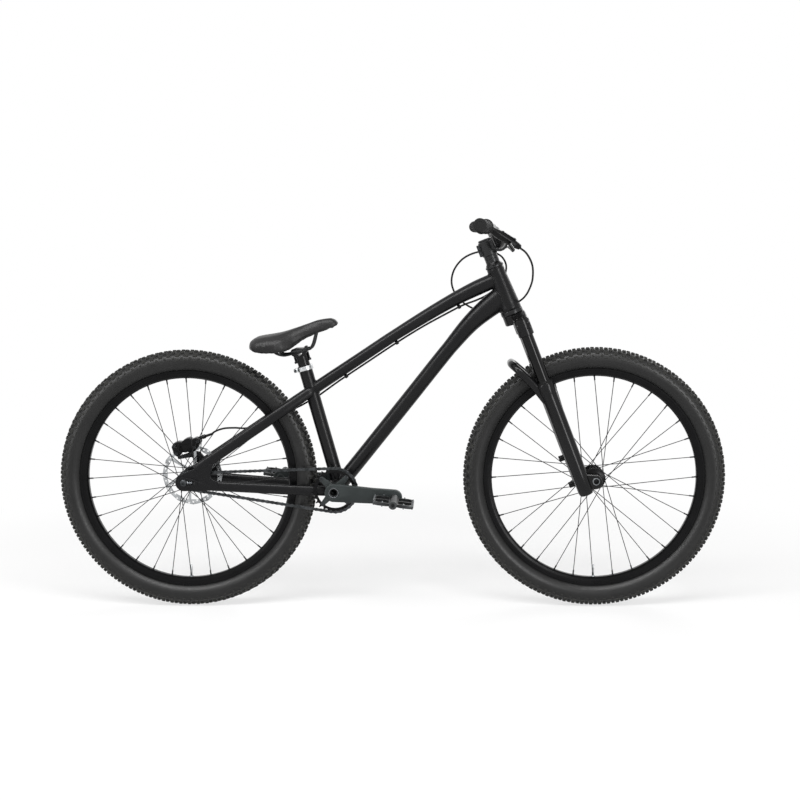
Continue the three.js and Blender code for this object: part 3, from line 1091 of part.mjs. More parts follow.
// Cockpit
const capFoot = stemTop + gap;
piece('headset_cover', turned([[stack.bore, coverFoot], [stack.coverOuter, coverFoot],
  [stack.spacerOuter, coverFoot + stack.coverHigh], [stack.bore, coverFoot + stack.coverHigh], [stack.bore, coverFoot]],
16, true), anodisedBlack, frontEnd);
[0, 1].forEach((i) => {
  const foot = spacerFoot + i * (stack.spacerHigh + gap);
  piece(`spacer_${i + 1}`, sleeve(stack.bore, stack.spacerOuter, foot, foot + stack.spacerHigh, 16, true), mattBlack,
    frontEnd);
});
piece('stem', stem(), mattBlack, frontEnd);
piece('stem_faceplate', faceplate(), mattBlack, frontEnd);
piece('top_cap', rod(stack.spacerOuter, capFoot, capFoot + stack.capHigh, 16, true), anodisedBlack, frontEnd);
piece('handlebar', handlebar(), mattBlack, frontEnd);
for (const [name, side] of sideNames) {
  piece(`${name}_grip`, alongGrip(grip(), side, bar.gripInner), rubber, frontEnd);
}
piece('brake_master', masterCylinder(), mattBlack, frontEnd);
piece('brake_lever', leverBlade(), anodisedBlack, bike);

// Rear brake
piece('brake_caliper', caliper(), mattBlack, bike);
piece('caliper_bracket', caliperBracket(), anodisedBlack, bike);
piece('hose_front', frontStretch(), mattBlack, bike);
piece('hose_rear', rearStretch(), mattBlack, bike);
clipShares.forEach((share, i) => piece(`hose_clip_${i + 1}`, hoseClip(share), glossBlack, bike));

export default bike;
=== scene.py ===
"""Dirt jump bike, dressed round its solid model.

X points ahead, Y to the rider's left and Z up. Lengths in the size fields are millimetres, as on a
workshop drawing; meshes are made in metres.
"""

from __future__ import annotations

import logging
import math
import sys
from dataclasses import dataclass, field
from enum import Enum
from typing import Optional, Sequence

import bpy
from mathutils import Matrix, Vector
from mathutils.bvhtree import BVHTree


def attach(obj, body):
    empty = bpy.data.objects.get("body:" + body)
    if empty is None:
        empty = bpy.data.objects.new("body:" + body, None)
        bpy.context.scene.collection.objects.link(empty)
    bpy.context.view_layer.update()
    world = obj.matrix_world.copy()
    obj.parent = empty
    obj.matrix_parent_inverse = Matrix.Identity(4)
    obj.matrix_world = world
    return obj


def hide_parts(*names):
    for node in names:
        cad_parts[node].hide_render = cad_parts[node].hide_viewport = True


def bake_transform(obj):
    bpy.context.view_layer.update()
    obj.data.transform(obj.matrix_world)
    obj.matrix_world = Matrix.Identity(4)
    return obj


LOG = logging.getLogger("dirt_jump_bike")
MM = 0.001
TAU = 2 * math.pi

# Turns that lead a piece drawn on Z, or in X and Y, to its place
AXLE = Matrix.Rotation(-math.pi / 2, 4, "X")
UPRIGHT = Matrix.Rotation(math.pi / 2, 4, "X")
MIRROR = Matrix.Diagonal((1, -1, 1, 1))
SIDEWAYS = Matrix(((1, 0, 0, 0), (0, 0, 1, 0), (0, 1, 0, 0), (0, 0, 0, 1)))
FACING = Matrix(((0, 0, 1, 0), (1, 0, 0, 0), (0, 1, 0, 0), (0, 0, 0, 1)))
AHEAD = Matrix.Rotation(math.pi / 2, 4, "Y")
SIDES = (("right", -1), ("left", 1))
WHITE = (1, 1, 1, 1)

Object = bpy.types.Object
Point = Sequence[float]
Triple = tuple[float, float, float]
Outline = Sequence[tuple[float, float]]


# Finishes


def linear(hex_colour: str) -> tuple[float, float, float, float]:
    """Turn an sRGB hex colour into the linear values that a shader takes.

    Args:
        hex_colour: Six hex digits, such as "1c1c1d".

    Returns:
        Red, green, blue and alpha, linear.
    """
    shares = [int(hex_colour[i:i + 2], 16) / 255 for i in (0, 2, 4)]
    light = [s / 12.92 if s <= 0.04045 else ((s + 0.055) / 1.055) ** 2.4 for s in shares]
    return light[0], light[1], light[2], 1.0


def add_node(tree: bpy.types.NodeTree, kind: str, settings: Optional[dict] = None,
             inputs: Optional[dict] = None) -> bpy.types.Node:
    """Add a node with its settings, values and links.

    Args:
        tree: The node tree.
        kind: The node's type name.
        settings: Attributes of the node.
        inputs: Values for its inputs, or the output sockets that feed them.

    Returns:
        The new node.
    """
    node = tree.nodes.new(kind)
    for key, value in (settings or {}).items():
        setattr(node, key, value)
    for key, value in (inputs or {}).items():
        if isinstance(value, bpy.types.NodeSocket):
            tree.links.new(value, node.inputs[key])
        else:
            node.inputs[key].default_value = value
    return node


class Grain(Enum):
    """How a surface's fine relief came about."""

    SPRAYED = "sprayed"
    BLASTED = "blasted"
    TURNED = "turned"
    MOULDED = "moulded"
    GRAINED = "grained"


@dataclass(frozen=True)
class Finish:
    """One real finish: its colours, its gloss and the relief of its surface."""

    name: str
    slot: str
    colour: str
    shade: str
    roughness: tuple[float, float]
    grain: Grain
    grain_mm: float
    relief: float = 0.2
    metallic: float = 0.0
    ior: float = 1.5
    specular: float = 0.5
    coat: float = 0.0
    coat_roughness: float = 0.1
    sheen: float = 0.0
    drift_mm: float = 60.0
    worn: Optional[str] = None

    def material(self) -> bpy.types.Material:
        """Give this finish's material, made on first use.

        Returns:
            The material.
        """
        found = bpy.data.materials.get(self.name)
        return found if found else self._make()

    def _make(self) -> bpy.types.Material:
        """Build the node tree.

        Returns:
            The new material.
        """
        material = bpy.data.materials.new(self.name)
        material.use_nodes = True
        tree = material.node_tree
        shader = tree.nodes["Principled BSDF"]
        place = add_node(tree, "ShaderNodeTexCoord").outputs["Object"]
        drift = add_node(tree, "ShaderNodeTexNoise", inputs={
            "Vector": place, "Scale": 1 / (self.drift_mm * MM), "Detail": 3.0, "Roughness": 0.55})
        tone = add_node(tree, "ShaderNodeValToRGB", inputs={"Fac": drift.outputs["Fac"]})
        for stop, position, tint in zip(tone.color_ramp.elements, (0.36, 0.66), (self.shade, self.colour)):
            stop.position = position
            stop.color = linear(tint)
        colour = tone.outputs["Color"]
        if self.worn:
            colour = self._worn_edges(tree, colour)
        height, gloss = self._relief(tree, place)
        rough = add_node(tree, "ShaderNodeMapRange", inputs={
            "Value": gloss, "From Min": 0.3, "From Max": 0.7,
            "To Min": self.roughness[0], "To Max": self.roughness[1]})
        bump = add_node(tree, "ShaderNodeBump", inputs={
            "Strength": self.relief, "Distance": self.grain_mm * MM * 0.35, "Height": height})
        tree.links.new(colour, shader.inputs["Base Color"])
        tree.links.new(rough.outputs["Result"], shader.inputs["Roughness"])
        tree.links.new(bump.outputs["Normal"], shader.inputs["Normal"])
        for key, value in (("Metallic", self.metallic), ("IOR", self.ior),
                           ("Specular IOR Level", self.specular), ("Coat Weight", self.coat),
                           ("Coat Roughness", self.coat_roughness), ("Sheen Weight", self.sheen)):
            shader.inputs[key].default_value = value
        return material

    def _worn_edges(self, tree: bpy.types.NodeTree,
                    colour: bpy.types.NodeSocket) -> bpy.types.NodeSocket:
        """Lighten the sharp edges, where hands and tools rub the finish.

        Args:
            tree: The node tree.
            colour: The colour so far.

        Returns:
            The colour with its edges.
        """
        point = add_node(tree, "ShaderNodeNewGeometry").outputs["Pointiness"]
        edge = add_node(tree, "ShaderNodeMapRange", inputs={
            "Value": point, "From Min": 0.53, "From Max": 0.62, "To Min": 0.0, "To Max": 0.75})
        mix = add_node(tree, "ShaderNodeMix", {"data_type": "RGBA"}, {
            "Factor": edge.outputs["Result"], "A": colour, "B": linear(self.worn)})
        return mix.outputs["Result"]

    def _relief(self, tree: bpy.types.NodeTree,
                place: bpy.types.NodeSocket) -> tuple[bpy.types.NodeSocket, bpy.types.NodeSocket]:
        """Make the fine relief of this grain.

        Args:
            tree: The node tree.
            place: The coordinates.

        Returns:
            A height and a value that moves the gloss.
        """
        scale = 1 / (self.grain_mm * MM)
        if self.grain is Grain.GRAINED:
            cells = add_node(tree, "ShaderNodeTexVoronoi", {"feature": "SMOOTH_F1"}, {
                "Vector": place, "Scale": scale, "Randomness": 0.9})
            return cells.outputs["Distance"], cells.outputs["Distance"]
        if self.grain is Grain.TURNED:
            stretch = add_node(tree, "ShaderNodeMapping", inputs={
                "Vector": place, "Scale": (0.12, 1.0, 0.12)})
            lines = add_node(tree, "ShaderNodeTexNoise", inputs={
                "Vector": stretch.outputs["Vector"], "Scale": scale, "Detail": 2.0})
            return lines.outputs["Fac"], lines.outputs["Fac"]
        detail = {Grain.SPRAYED: 1.0, Grain.BLASTED: 3.0, Grain.MOULDED: 2.0}[self.grain]
        noise = add_node(tree, "ShaderNodeTexNoise", inputs={
            "Vector": place, "Scale": scale, "Detail": detail, "Roughness": 0.5})
        return noise.outputs["Fac"], noise.outputs["Fac"]


class Finishes:
    """The bike's finishes, each named for the real material."""

    # Satin powder coat on welded alloy tubes: soft wide highlights and a faint orange peel
    frame_coat = Finish("satin_powder_coat", "frame_black", "0c0c0d", "08080a", (0.26, 0.35),
                        Grain.SPRAYED, 3.0, 0.05, specular=0.21)
    # Bead-blasted and anodised alloy: dull dark metal with fine tooth
    anodised = Finish("anodised_aluminium_black", "alloy_black", "191919", "111112", (0.24, 0.36),
                      Grain.BLASTED, 0.9, 0.1, metallic=0.7, specular=0.3, worn="4b4c4d")
    # Polished and black-anodised fork tubes: long sharp reflections
    stanchion = Finish("hard_anodised_tube", "alloy_black", "0d0d0e", "090909", (0.1, 0.15),
                       Grain.TURNED, 1.5, 0.04, metallic=0.5, specular=0.2, coat=0.2, coat_roughness=0.06)
    # Cast magnesium with a gloss-to-satin black coat
    fork_coat = Finish("painted_cast_magnesium", "alloy_black", "0f0f10", "0a0a0b", (0.16, 0.22),
                       Grain.SPRAYED, 2.5, 0.06, specular=0.22)
    # Forged alloy crank, matt grey-black hard anodising
    crank_coat = Finish("forged_aluminium_grey", "crank_grey", "323737", "2a2e2e", (0.42, 0.56),
                        Grain.BLASTED, 1.4, 0.18, metallic=0.35, specular=0.25, worn="5b5f5f")
    # Black seals, welts and boots
    rubber_trim = Finish("moulded_seal_rubber", "rubber", "111111", "0b0b0b", (0.5, 0.66),
                         Grain.MOULDED, 1.2, 0.15, specular=0.15)
    # Turned alloy thru axle, anodised grey
    axle = Finish("anodised_axle_grey", "alloy_black", "8e9193", "6c6f71", (0.22, 0.32),
                  Grain.TURNED, 1.0, 0.1, metallic=0.9)
    # Painted chromoly saddle rails
    dark_rail = Finish("painted_rail_steel", "steel", "1a1b1c", "121313", (0.2, 0.3),
                       Grain.TURNED, 1.5, 0.08, metallic=0.4, specular=0.25)
    # Extruded alloy pedal cage, anodised black
    pedal = Finish("anodised_pedal_cage", "alloy_black", "1b1c1d", "131414", (0.26, 0.38),
                   Grain.BLASTED, 0.9, 0.12, metallic=0.55, specular=0.3, worn="707374")
    # Bare ground steel: cog, bearings, steerer and pedal axles
    steel = Finish("ground_steel", "steel", "8b8e90", "6d7072", (0.26, 0.42),
                   Grain.TURNED, 1.2, 0.15, metallic=1.0)
    # Stainless rotor polished by the pads: pale track with a fine turned grain
    rotor_steel = Finish("pad_polished_stainless", "steel", "cfd1d2", "a9acae", (0.2, 0.32),
                         Grain.TURNED, 1.2, 0.12, metallic=1.0, worn="8a8d8f")
    # Oiled steel of the chain, darker than the rotor
    dark_steel = Finish("oiled_chain_steel", "steel", "4b4d4f", "2b2d2e", (0.28, 0.44),
                        Grain.BLASTED, 1.6, 0.2, metallic=0.9, drift_mm=14.0)
    # Black-oxide screws, rubbed bright at the edges of their sockets
    screw = Finish("black_oxide_screw", "steel", "3b3d3f", "2a2b2d", (0.24, 0.36),
                   Grain.TURNED, 0.8, 0.1, metallic=0.9, worn="84878a")
    # Turned and polished alloy of the seat collar
    silver = Finish("polished_aluminium", "silver", "d2d4d5", "b4b6b8", (0.16, 0.28),
                    Grain.TURNED, 1.0, 0.12, metallic=1.0)
    # Stainless pins, rotor bolts and valve
    stainless = Finish("stainless_steel", "silver", "b4b7b8", "83868a", (0.2, 0.34),
                       Grain.TURNED, 0.8, 0.1, metallic=1.0)
    # Black-oxide steel spokes: thin and nearly matt
    spoke = Finish("black_spoke_wire", "alloy_black", "151516", "0e0e0f", (0.26, 0.38),
                   Grain.BLASTED, 2.0, 0.1, metallic=0.6, specular=0.3)
    # Tread rubber with carbon black and a little chalk bloom in its pores
    tread = Finish("tread_rubber", "rubber", "181817", "0f0f0f", (0.66, 0.84),
                   Grain.MOULDED, 3.0, 0.3, ior=1.52, specular=0.15, drift_mm=25.0, worn="3a3a38")
    # Thin smooth rubber over the casing's cords, which takes a broad soft highlight
    casing = Finish("casing_rubber", "rubber", "161616", "101010", (0.32, 0.44),
                    Grain.MOULDED, 4.0, 0.1, ior=1.52, specular=0.32, drift_mm=45.0)
    # Soft grip rubber, dulled by hands
    grip = Finish("soft_grip_rubber", "grip_rubber", "191919", "101010", (0.58, 0.74),
                  Grain.MOULDED, 1.6, 0.3, specular=0.18, sheen=0.05)
    # Synthetic leather with a pebble grain, about 2.5 mm here so that it shows
    saddle_cover = Finish("grained_saddle_vinyl", "saddle_cover", "1a191a", "121212", (0.38, 0.5),
                          Grain.GRAINED, 2.5, 0.3, specular=0.3)
    # Black nylon jacket of the hydraulic hose
    hose = Finish("nylon_hose_jacket", "hose_black", "101010", "0b0b0b", (0.22, 0.32),
                  Grain.MOULDED, 2.0, 0.08, specular=0.2)
    # Injection-moulded nylon: clips, saddle base, guards
    plastic = Finish("moulded_nylon", "plastic_black", "121213", "0c0c0c", (0.38, 0.5),
                     Grain.MOULDED, 2.0, 0.2, specular=0.2)
    # Anodised rim: satin sides with faint turning marks
    rim = Finish("anodised_rim", "alloy_black", "0f0f10", "0a0a0b", (0.24, 0.34),
                 Grain.TURNED, 2.4, 0.08, metallic=0.5, specular=0.2)


# Modelling moves


class Shop:
    """Moves that the sub-assemblies share, made with Blender's own operators."""

    @staticmethod
    def clear() -> None:
        """Leave edit mode and deselect everything."""
        if bpy.context.mode != "OBJECT":
            bpy.ops.object.mode_set(mode="OBJECT")
        bpy.ops.object.select_all(action="DESELECT")

    @staticmethod
    def pick(obj: Object) -> None:
        """Select one object alone and make it active."""
        Shop.clear()
        obj.select_set(True)
        bpy.context.view_layer.objects.active = obj

    @staticmethod
    def edit(obj: Object, mode: str = "FACE") -> None:
        """Enter edit mode with nothing selected.

        Args:
            obj: The object.
            mode: Which elements are picked: VERT, EDGE or FACE.
        """
        Shop.pick(obj)
        bpy.ops.object.mode_set(mode="EDIT")
        bpy.ops.mesh.select_mode(type=mode)
        bpy.ops.mesh.select_all(action="DESELECT")
        bpy.ops.object.mode_set(mode="OBJECT")

    @staticmethod
    def named(obj: Object, name: str) -> Object:
        """Name an object and its mesh, and hand it back."""
        obj.name = name
        obj.data.name = name
        return obj

    @staticmethod
    def copy(source: Object, name: str) -> Object:
        """Copy an object with its mesh, in its place."""
        obj = bpy.data.objects.new(name, source.data.copy())
        bpy.context.scene.collection.objects.link(obj)
        return obj

    @staticmethod
    def outward(obj: Object, merge: float = 2e-6) -> Object:
        """Merge doubles and turn the faces outwards.

        Args:
            obj: The object.
            merge: The merging distance in metres.

        Returns:
            The same object.
        """
        Shop.pick(obj)
        bpy.ops.object.mode_set(mode="EDIT")
        bpy.ops.mesh.select_all(action="SELECT")
        bpy.ops.mesh.remove_doubles(threshold=merge)
        bpy.ops.mesh.normals_make_consistent(inside=False)
        bpy.ops.object.mode_set(mode="OBJECT")
        return obj

    @staticmethod
    def modify(obj: Object, kind: str, **settings: object) -> Object:
        """Add a modifier and apply it.

        Args:
            obj: The object.
            kind: The modifier's type.
            **settings: Its settings.

        Returns:
            The same object.
        """
        Shop.pick(obj)
        modifier = obj.modifiers.new(kind.lower(), kind)
        for key, value in settings.items():
            setattr(modifier, key, value)
        bpy.ops.object.modifier_apply(modifier=modifier.name)
        return obj

    @staticmethod
    def bevel(obj: Object, width: float, segments: int = 2, angle: float = 35.0) -> Object:
        """Round the sharp edges.

        Args:
            obj: The object.
            width: Width of the round in millimetres.
            segments: Faces across it.
            angle: Edges sharper than this are rounded, in degrees.

        Returns:
            The same object.
        """
        return Shop.modify(obj, "BEVEL", width=width * MM, segments=segments, limit_method="ANGLE",
                           angle_limit=math.radians(angle), use_clamp_overlap=True, harden_normals=False)

    @staticmethod
    def smooth(obj: Object, angle: float = 40.0) -> Object:
        """Shade smooth, with edges sharper than an angle kept."""
        Shop.pick(obj)
        bpy.ops.object.shade_smooth_by_angle(angle=math.radians(angle))
        return obj

    @staticmethod
    def move(obj: Object, matrix: Matrix) -> Object:
        """Move a mesh by a matrix, its faces kept outward and the object staying at the origin."""
        obj.data.transform(matrix)
        if matrix.determinant() < 0:
            obj.data.flip_normals()
        obj.data.update()
        return obj

    @staticmethod
    def turned(name: str, profile: Outline, steps: int = 40, meets: bool = True) -> Object:
        """Spin a profile round Z.

        Args:
            name: The piece's name.
            profile: Points as radius and height in millimetres.
            steps: Steps round.
            meets: Whether a profile that starts off Z meets itself.

        Returns:
            The turned piece.
        """
        Shop.clear()
        bpy.ops.mesh.primitive_plane_add(size=MM)
        obj = Shop.named(bpy.context.object, name)
        bpy.ops.object.mode_set(mode="EDIT")
        bpy.ops.mesh.select_mode(type="VERT")
        bpy.ops.mesh.select_all(action="SELECT")
        bpy.ops.mesh.merge(type="CENTER")
        start = profile[0]
        bpy.ops.transform.translate(value=(start[0] * MM, 0, start[1] * MM))
        path = [*profile, start] if meets and start[0] > 0 else profile
        for (r0, z0), (r1, z1) in zip(path, path[1:]):
            bpy.ops.mesh.extrude_region_move(
                TRANSFORM_OT_translate={"value": ((r1 - r0) * MM, 0, (z1 - z0) * MM)})
        bpy.ops.mesh.select_all(action="SELECT")
        bpy.ops.mesh.spin(steps=steps, angle=TAU, center=(0, 0, 0), axis=(0, 0, 1))
        bpy.ops.object.mode_set(mode="OBJECT")
        return Shop.outward(obj)

    @staticmethod
    def loft(name: str, rings: Sequence[Sequence[Vector]]) -> Object:
        """Skin through rings of points, closed at both ends.

        A cylinder is cut into as many rings as there are stations, and each ring goes to its place.

        Args:
            name: The piece's name.
            rings: Rings of equal point counts, in metres.

        Returns:
            The skin.
        """
        sides, count = len(rings[0]), len(rings)
        Shop.clear()
        bpy.ops.mesh.primitive_cylinder_add(vertices=sides, radius=1, depth=2)
        obj = Shop.named(bpy.context.object, name)
        if count > 2:
            Shop.edit(obj, "EDGE")
            points = obj.data.vertices
            for edge in obj.data.edges:
                low, high = (points[i].co.z for i in edge.vertices)
                edge.select = abs(high - low) > 1
            bpy.ops.object.mode_set(mode="EDIT")
            bpy.ops.mesh.subdivide(number_cuts=count - 2)
            bpy.ops.object.mode_set(mode="OBJECT")
        for vertex in obj.data.vertices:
            ring = round((vertex.co.z + 1) / 2 * (count - 1))
            side = round((math.pi / 2 - math.atan2(vertex.co.y, vertex.co.x)) / TAU * sides) % sides
            vertex.co = rings[ring][side]
        return Shop.outward(obj, 1e-7)

    @staticmethod
    def plate(name: str, outline: Outline, low: float, high: float) -> Object:
        """Extrude an outline in X and Y from one height to another.

        Args:
            name: The piece's name.
            outline: Corners in millimetres, in order round.
            low: Lower height.
            high: Upper height.

        Returns:
            The plate.
        """
        Shop.clear()
        bpy.ops.mesh.primitive_circle_add(vertices=len(outline), radius=1, fill_type="NGON")
        obj = Shop.named(bpy.context.object, name)
        for vertex, (x, y) in zip(obj.data.vertices, outline):
            vertex.co = (x * MM, y * MM, low * MM)
        bpy.ops.object.mode_set(mode="EDIT")
        bpy.ops.mesh.select_all(action="SELECT")
        bpy.ops.mesh.extrude_region_move(TRANSFORM_OT_translate={"value": (0, 0, (high - low) * MM)})
        bpy.ops.object.mode_set(mode="OBJECT")
        return Shop.outward(obj)

    @staticmethod
    def side_plate(name: str, outline: Outline, low: float, high: float,
                   rounding: tuple[float, int, float] = (0, 0, 0)) -> Object:
        """Extrude an outline in X and Z across the bike, with its edges rounded.

        Args:
            name: The piece's name.
            outline: Corners in millimetres.
            low: Place of its right face.
            high: Place of its left face.
            rounding: Width, faces across and least angle of the round, or zeros for sharp edges.

        Returns:
            The plate.
        """
        obj = Shop.plate(name, outline, low, high)
        return Shop.move(Shop.bevel(obj, *rounding) if rounding[0] else obj, SIDEWAYS)

    @staticmethod
    def block(name: str, size: Point, centre: Point, round_mm: float = 0.6, segments: int = 2) -> Object:
        """Make a block with rounded edges.

        Args:
            name: The piece's name.
            size: Its three sides in millimetres.
            centre: Its middle in millimetres.
            round_mm: The rounding.
            segments: Faces across each round.

        Returns:
            The block.
        """
        Shop.clear()
        bpy.ops.mesh.primitive_cube_add(size=1)
        obj = Shop.named(bpy.context.object, name)
        Shop.move(obj, shift(*centre) @ Matrix.Diagonal((*(Vector(size) * MM), 1.0)))
        return Shop.bevel(obj, round_mm, segments) if round_mm else obj

    @staticmethod
    def bolt(name: str, radius: float, height: float, socket: float) -> Object:
        """Socket-head bolt on Z, its seat at zero.

        Args:
            name: The piece's name.
            radius: Head radius.
            height: Head height.
            socket: Radius of the hex socket.

        Returns:
            The bolt head.
        """
        Shop.clear()
        bpy.ops.mesh.primitive_cylinder_add(vertices=24, radius=radius * MM, depth=height * MM)
        obj = Shop.named(bpy.context.object, name)
        Shop.move(obj, shift(z=height / 2))
        Shop.edit(obj)
        for face in obj.data.polygons:
            face.select = face.normal.z > 0.9
        bpy.ops.object.mode_set(mode="EDIT")
        bpy.ops.mesh.inset(thickness=(radius - socket) * MM)
        bpy.ops.mesh.extrude_region_move(TRANSFORM_OT_translate={"value": (0, 0, -0.6 * height * MM)})
        bpy.ops.object.mode_set(mode="OBJECT")
        return Shop.bevel(obj, 0.35, 2, 50)

    @staticmethod
    def wire(name: str, points: Sequence[Vector], radius: float | Sequence[float], sides: int = 12,
             closed: bool = False) -> Object:
        """Make a round tube along points, as a mesh.

        Args:
            name: The piece's name.
            points: Places in metres.
            radius: Radius in millimetres, one or one for each point.
            sides: Sides round.
            closed: Whether the tube meets itself; an open one gets flat ends.

        Returns:
            The tube.
        """
        Shop.clear()
        curve = bpy.data.curves.new(name, "CURVE")
        curve.dimensions = "3D"
        curve.bevel_depth = MM
        curve.bevel_resolution = max(0, sides // 2 - 2)
        curve.use_fill_caps = not closed
        line = curve.splines.new("POLY")
        line.points.add(len(points) - 1)
        radii = [radius] * len(points) if isinstance(radius, (int, float)) else radius
        for spot, place, reach in zip(line.points, points, radii):
            spot.co = (*place, 1)
            spot.radius = reach
        line.use_cyclic_u = closed
        obj = bpy.data.objects.new(name, curve)
        bpy.context.scene.collection.objects.link(obj)
        Shop.pick(obj)
        bpy.ops.object.convert(target="MESH")
        obj = Shop.named(bpy.context.object, name)
        return Shop.outward(obj, 1e-7)

    @staticmethod
    def copies(name: str, pattern: Object, places: Sequence[Matrix]) -> Object:
        """Repeat a pattern piece at places and join the copies.

        Args:
            name: The joined piece's name.
            pattern: What is repeated; it is used up.
            places: A matrix for each copy.

        Returns:
            The joined piece.
        """
        made = [Shop.move(Shop.copy(pattern, name), place) for place in places]
        bpy.data.objects.remove(pattern)
        return Shop.join(name, made)

    @staticmethod
    def carve(obj: Object, cutter: Object) -> Object:
        """Cut one piece with another, which is used up."""
        Shop.modify(obj, "BOOLEAN", object=cutter, operation="DIFFERENCE", solver="EXACT")
        bpy.data.objects.remove(cutter)
        return obj

    @staticmethod
    def join(name: str, parts: Sequence[Object]) -> Object:
        """Join pieces into one.

        Args:
            name: The joined piece's name.
            parts: The pieces.

        Returns:
            The joined piece.
        """
        Shop.clear()
        for part in parts:
            part.select_set(True)
        bpy.context.view_layer.objects.active = parts[0]
        if len(parts) > 1:
            bpy.ops.object.join()
        return Shop.named(bpy.context.object, name)

    @staticmethod
    def twin(node: str, name: str, edge_mm: float = 0.5, flat: float = 1.0) -> Object:
        """Copy a solid node, clean its faces and round its edges.

        Args:
            node: The node that is copied.
            name: The new piece's name.
            edge_mm: The rounding of its edges.
            flat: Faces within this angle are taken as one, in degrees.

        Returns:
            The new piece.
        """
        Shop.clear()
        obj = Shop.copy(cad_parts[node], name)
        obj.data.materials.clear()
        Shop.outward(obj, 2e-5)
        Shop.modify(obj, "DECIMATE", decimate_type="DISSOLVE", angle_limit=math.radians(flat))
        if edge_mm:
            Shop.bevel(obj, edge_mm, 2, 32)
        return Shop.smooth(Shop.named(obj, name), 32)


def hand_over(obj: Object, body: str, finish: Finish, *nodes: str, place: Optional[Matrix] = None,
              angle: Optional[float] = 40.0) -> Object:
    """Dress a finished piece, set it on its body and hide the solid nodes that it stands for.

    Args:
        obj: The piece.
        body: The body that it rides on.
        finish: Its finish.
        *nodes: The solid nodes that it replaces.
        place: Where it goes, where it isn't drawn in its place.
        angle: Edges sharper than this stay sharp, in degrees; none where its shading is set.

    Returns:
        The piece.
    """
    if place is not None:
        Shop.move(obj, place)
    if angle is not None:
        Shop.smooth(obj, angle)
    obj.data.materials.clear()
    obj.data.materials.append(finish.material())
    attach(obj, body)
    if nodes:
        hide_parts(*nodes)
    LOG.info("piece %s on %s: %d faces", obj.name, body, len(obj.data.polygons))
    return obj


# Places, profiles and curves


def shift(x: float = 0.0, y: float = 0.0, z: float = 0.0) -> Matrix:
    """Matrix that moves by millimetres."""
    return Matrix.Translation(Vector((x, y, z)) * MM)


def turn(degrees: float, axis: str) -> Matrix:
    """Matrix that turns by degrees about X, Y or Z."""
    return Matrix.Rotation(math.radians(degrees), 4, axis)


def aim(direction: Vector) -> Matrix:
    """Matrix that leads Z the shortest way to a direction."""
    return Vector((0, 0, 1)).rotation_difference(direction).to_matrix().to_4x4()


def drum(radius: float, low: float, high: float, edge: float = 0.0, bore: float = 0.0
         ) -> list[tuple[float, float]]:
    """Profile of a rod, or of a sleeve where it has a bore.

    Args:
        radius: Its radius in millimetres.
        low: Its lower end.
        high: Its upper end.
        edge: Chamfer of its outer edges.
        bore: Radius of its bore.

    Returns:
        The profile.
    """
    if not edge:
        return [(bore, low), (radius, low), (radius, high), (bore, high)]
    return [(bore, low), (radius - edge, low), (radius, low + edge), (radius, high - edge),
            (radius - edge, high), (bore, high)]


def mirrored(points: Sequence[Point], axis: int, skip: int = 0) -> list[Point]:
    """Points, then their mirror images in reverse.

    Args:
        points: One half of a line or an outline.
        axis: Which coordinate changes its sign.
        skip: How many images are left out, because they lie on the mirror.

    Returns:
        Both halves.
    """
    images = [[-v if i == axis else v for i, v in enumerate(point)] for point in reversed(points)]
    return [*points, *images[skip:]]


def spline(points: Sequence[Point], per_span: int) -> list[Vector]:
    """Sample a centripetal spline through points, as the solid model's routes are drawn.

    Args:
        points: The points.
        per_span: Samples in each span.

    Returns:
        Places along it.
    """
    knots = [Vector(p) for p in points]
    ends = [2 * knots[0] - knots[1], *knots, 2 * knots[-1] - knots[-2]]
    places = []
    for i in range(len(knots) - 1):
        p0, p1, p2, p3 = ends[i:i + 4]
        d0, d1, d2 = (max((b - a).length ** 0.5, 1e-5) for a, b in ((p0, p1), (p1, p2), (p2, p3)))
        m1 = ((p1 - p0) / d0 - (p2 - p0) / (d0 + d1) + (p2 - p1) / d1) * d1
        m2 = ((p2 - p1) / d1 - (p3 - p1) / (d1 + d2) + (p3 - p2) / d2) * d1
        for step in range(per_span):
            t = step / per_span
            places.append(p1 + m1 * t + (3 * (p2 - p1) - 2 * m1 - m2) * t ** 2
                          + (2 * (p1 - p2) + m1 + m2) * t ** 3)
    places.append(knots[-1])
    return places


def run_length(points: Sequence[Vector]) -> float:
    """Length of a line of points."""
    return sum((b - a).length for a, b in zip(points, points[1:]))


def at_share(points: Sequence[Vector], share: float) -> Vector:
    """Place at a share of a line's length.

    Args:
        points: The line.
        share: From 0 to 1.

    Returns:
        The place.
    """
    rest = share * run_length(points)
    for a, b in zip(points, points[1:]):
        step = (b - a).length
        if rest <= step:
            return a.lerp(b, rest / step if step else 0)
        rest -= step
    return points[-1].copy()


def arc(x: float, y: float, radius: float, start: float, end: float,
        steps: int) -> list[tuple[float, float]]:
    """Points on an arc about x and y, from a first angle to a last one in degrees."""
    turns = [math.radians(start + (end - start) * i / steps) for i in range(steps + 1)]
    return [(x + radius * math.cos(a), y + radius * math.sin(a)) for a in turns]


def smoothstep(value: float, low: float, high: float) -> float:
    """Ease from 0 to 1 between two values."""
    t = min(max((value - low) / (high - low), 0.0), 1.0)
    return t * t * (3 - 2 * t)


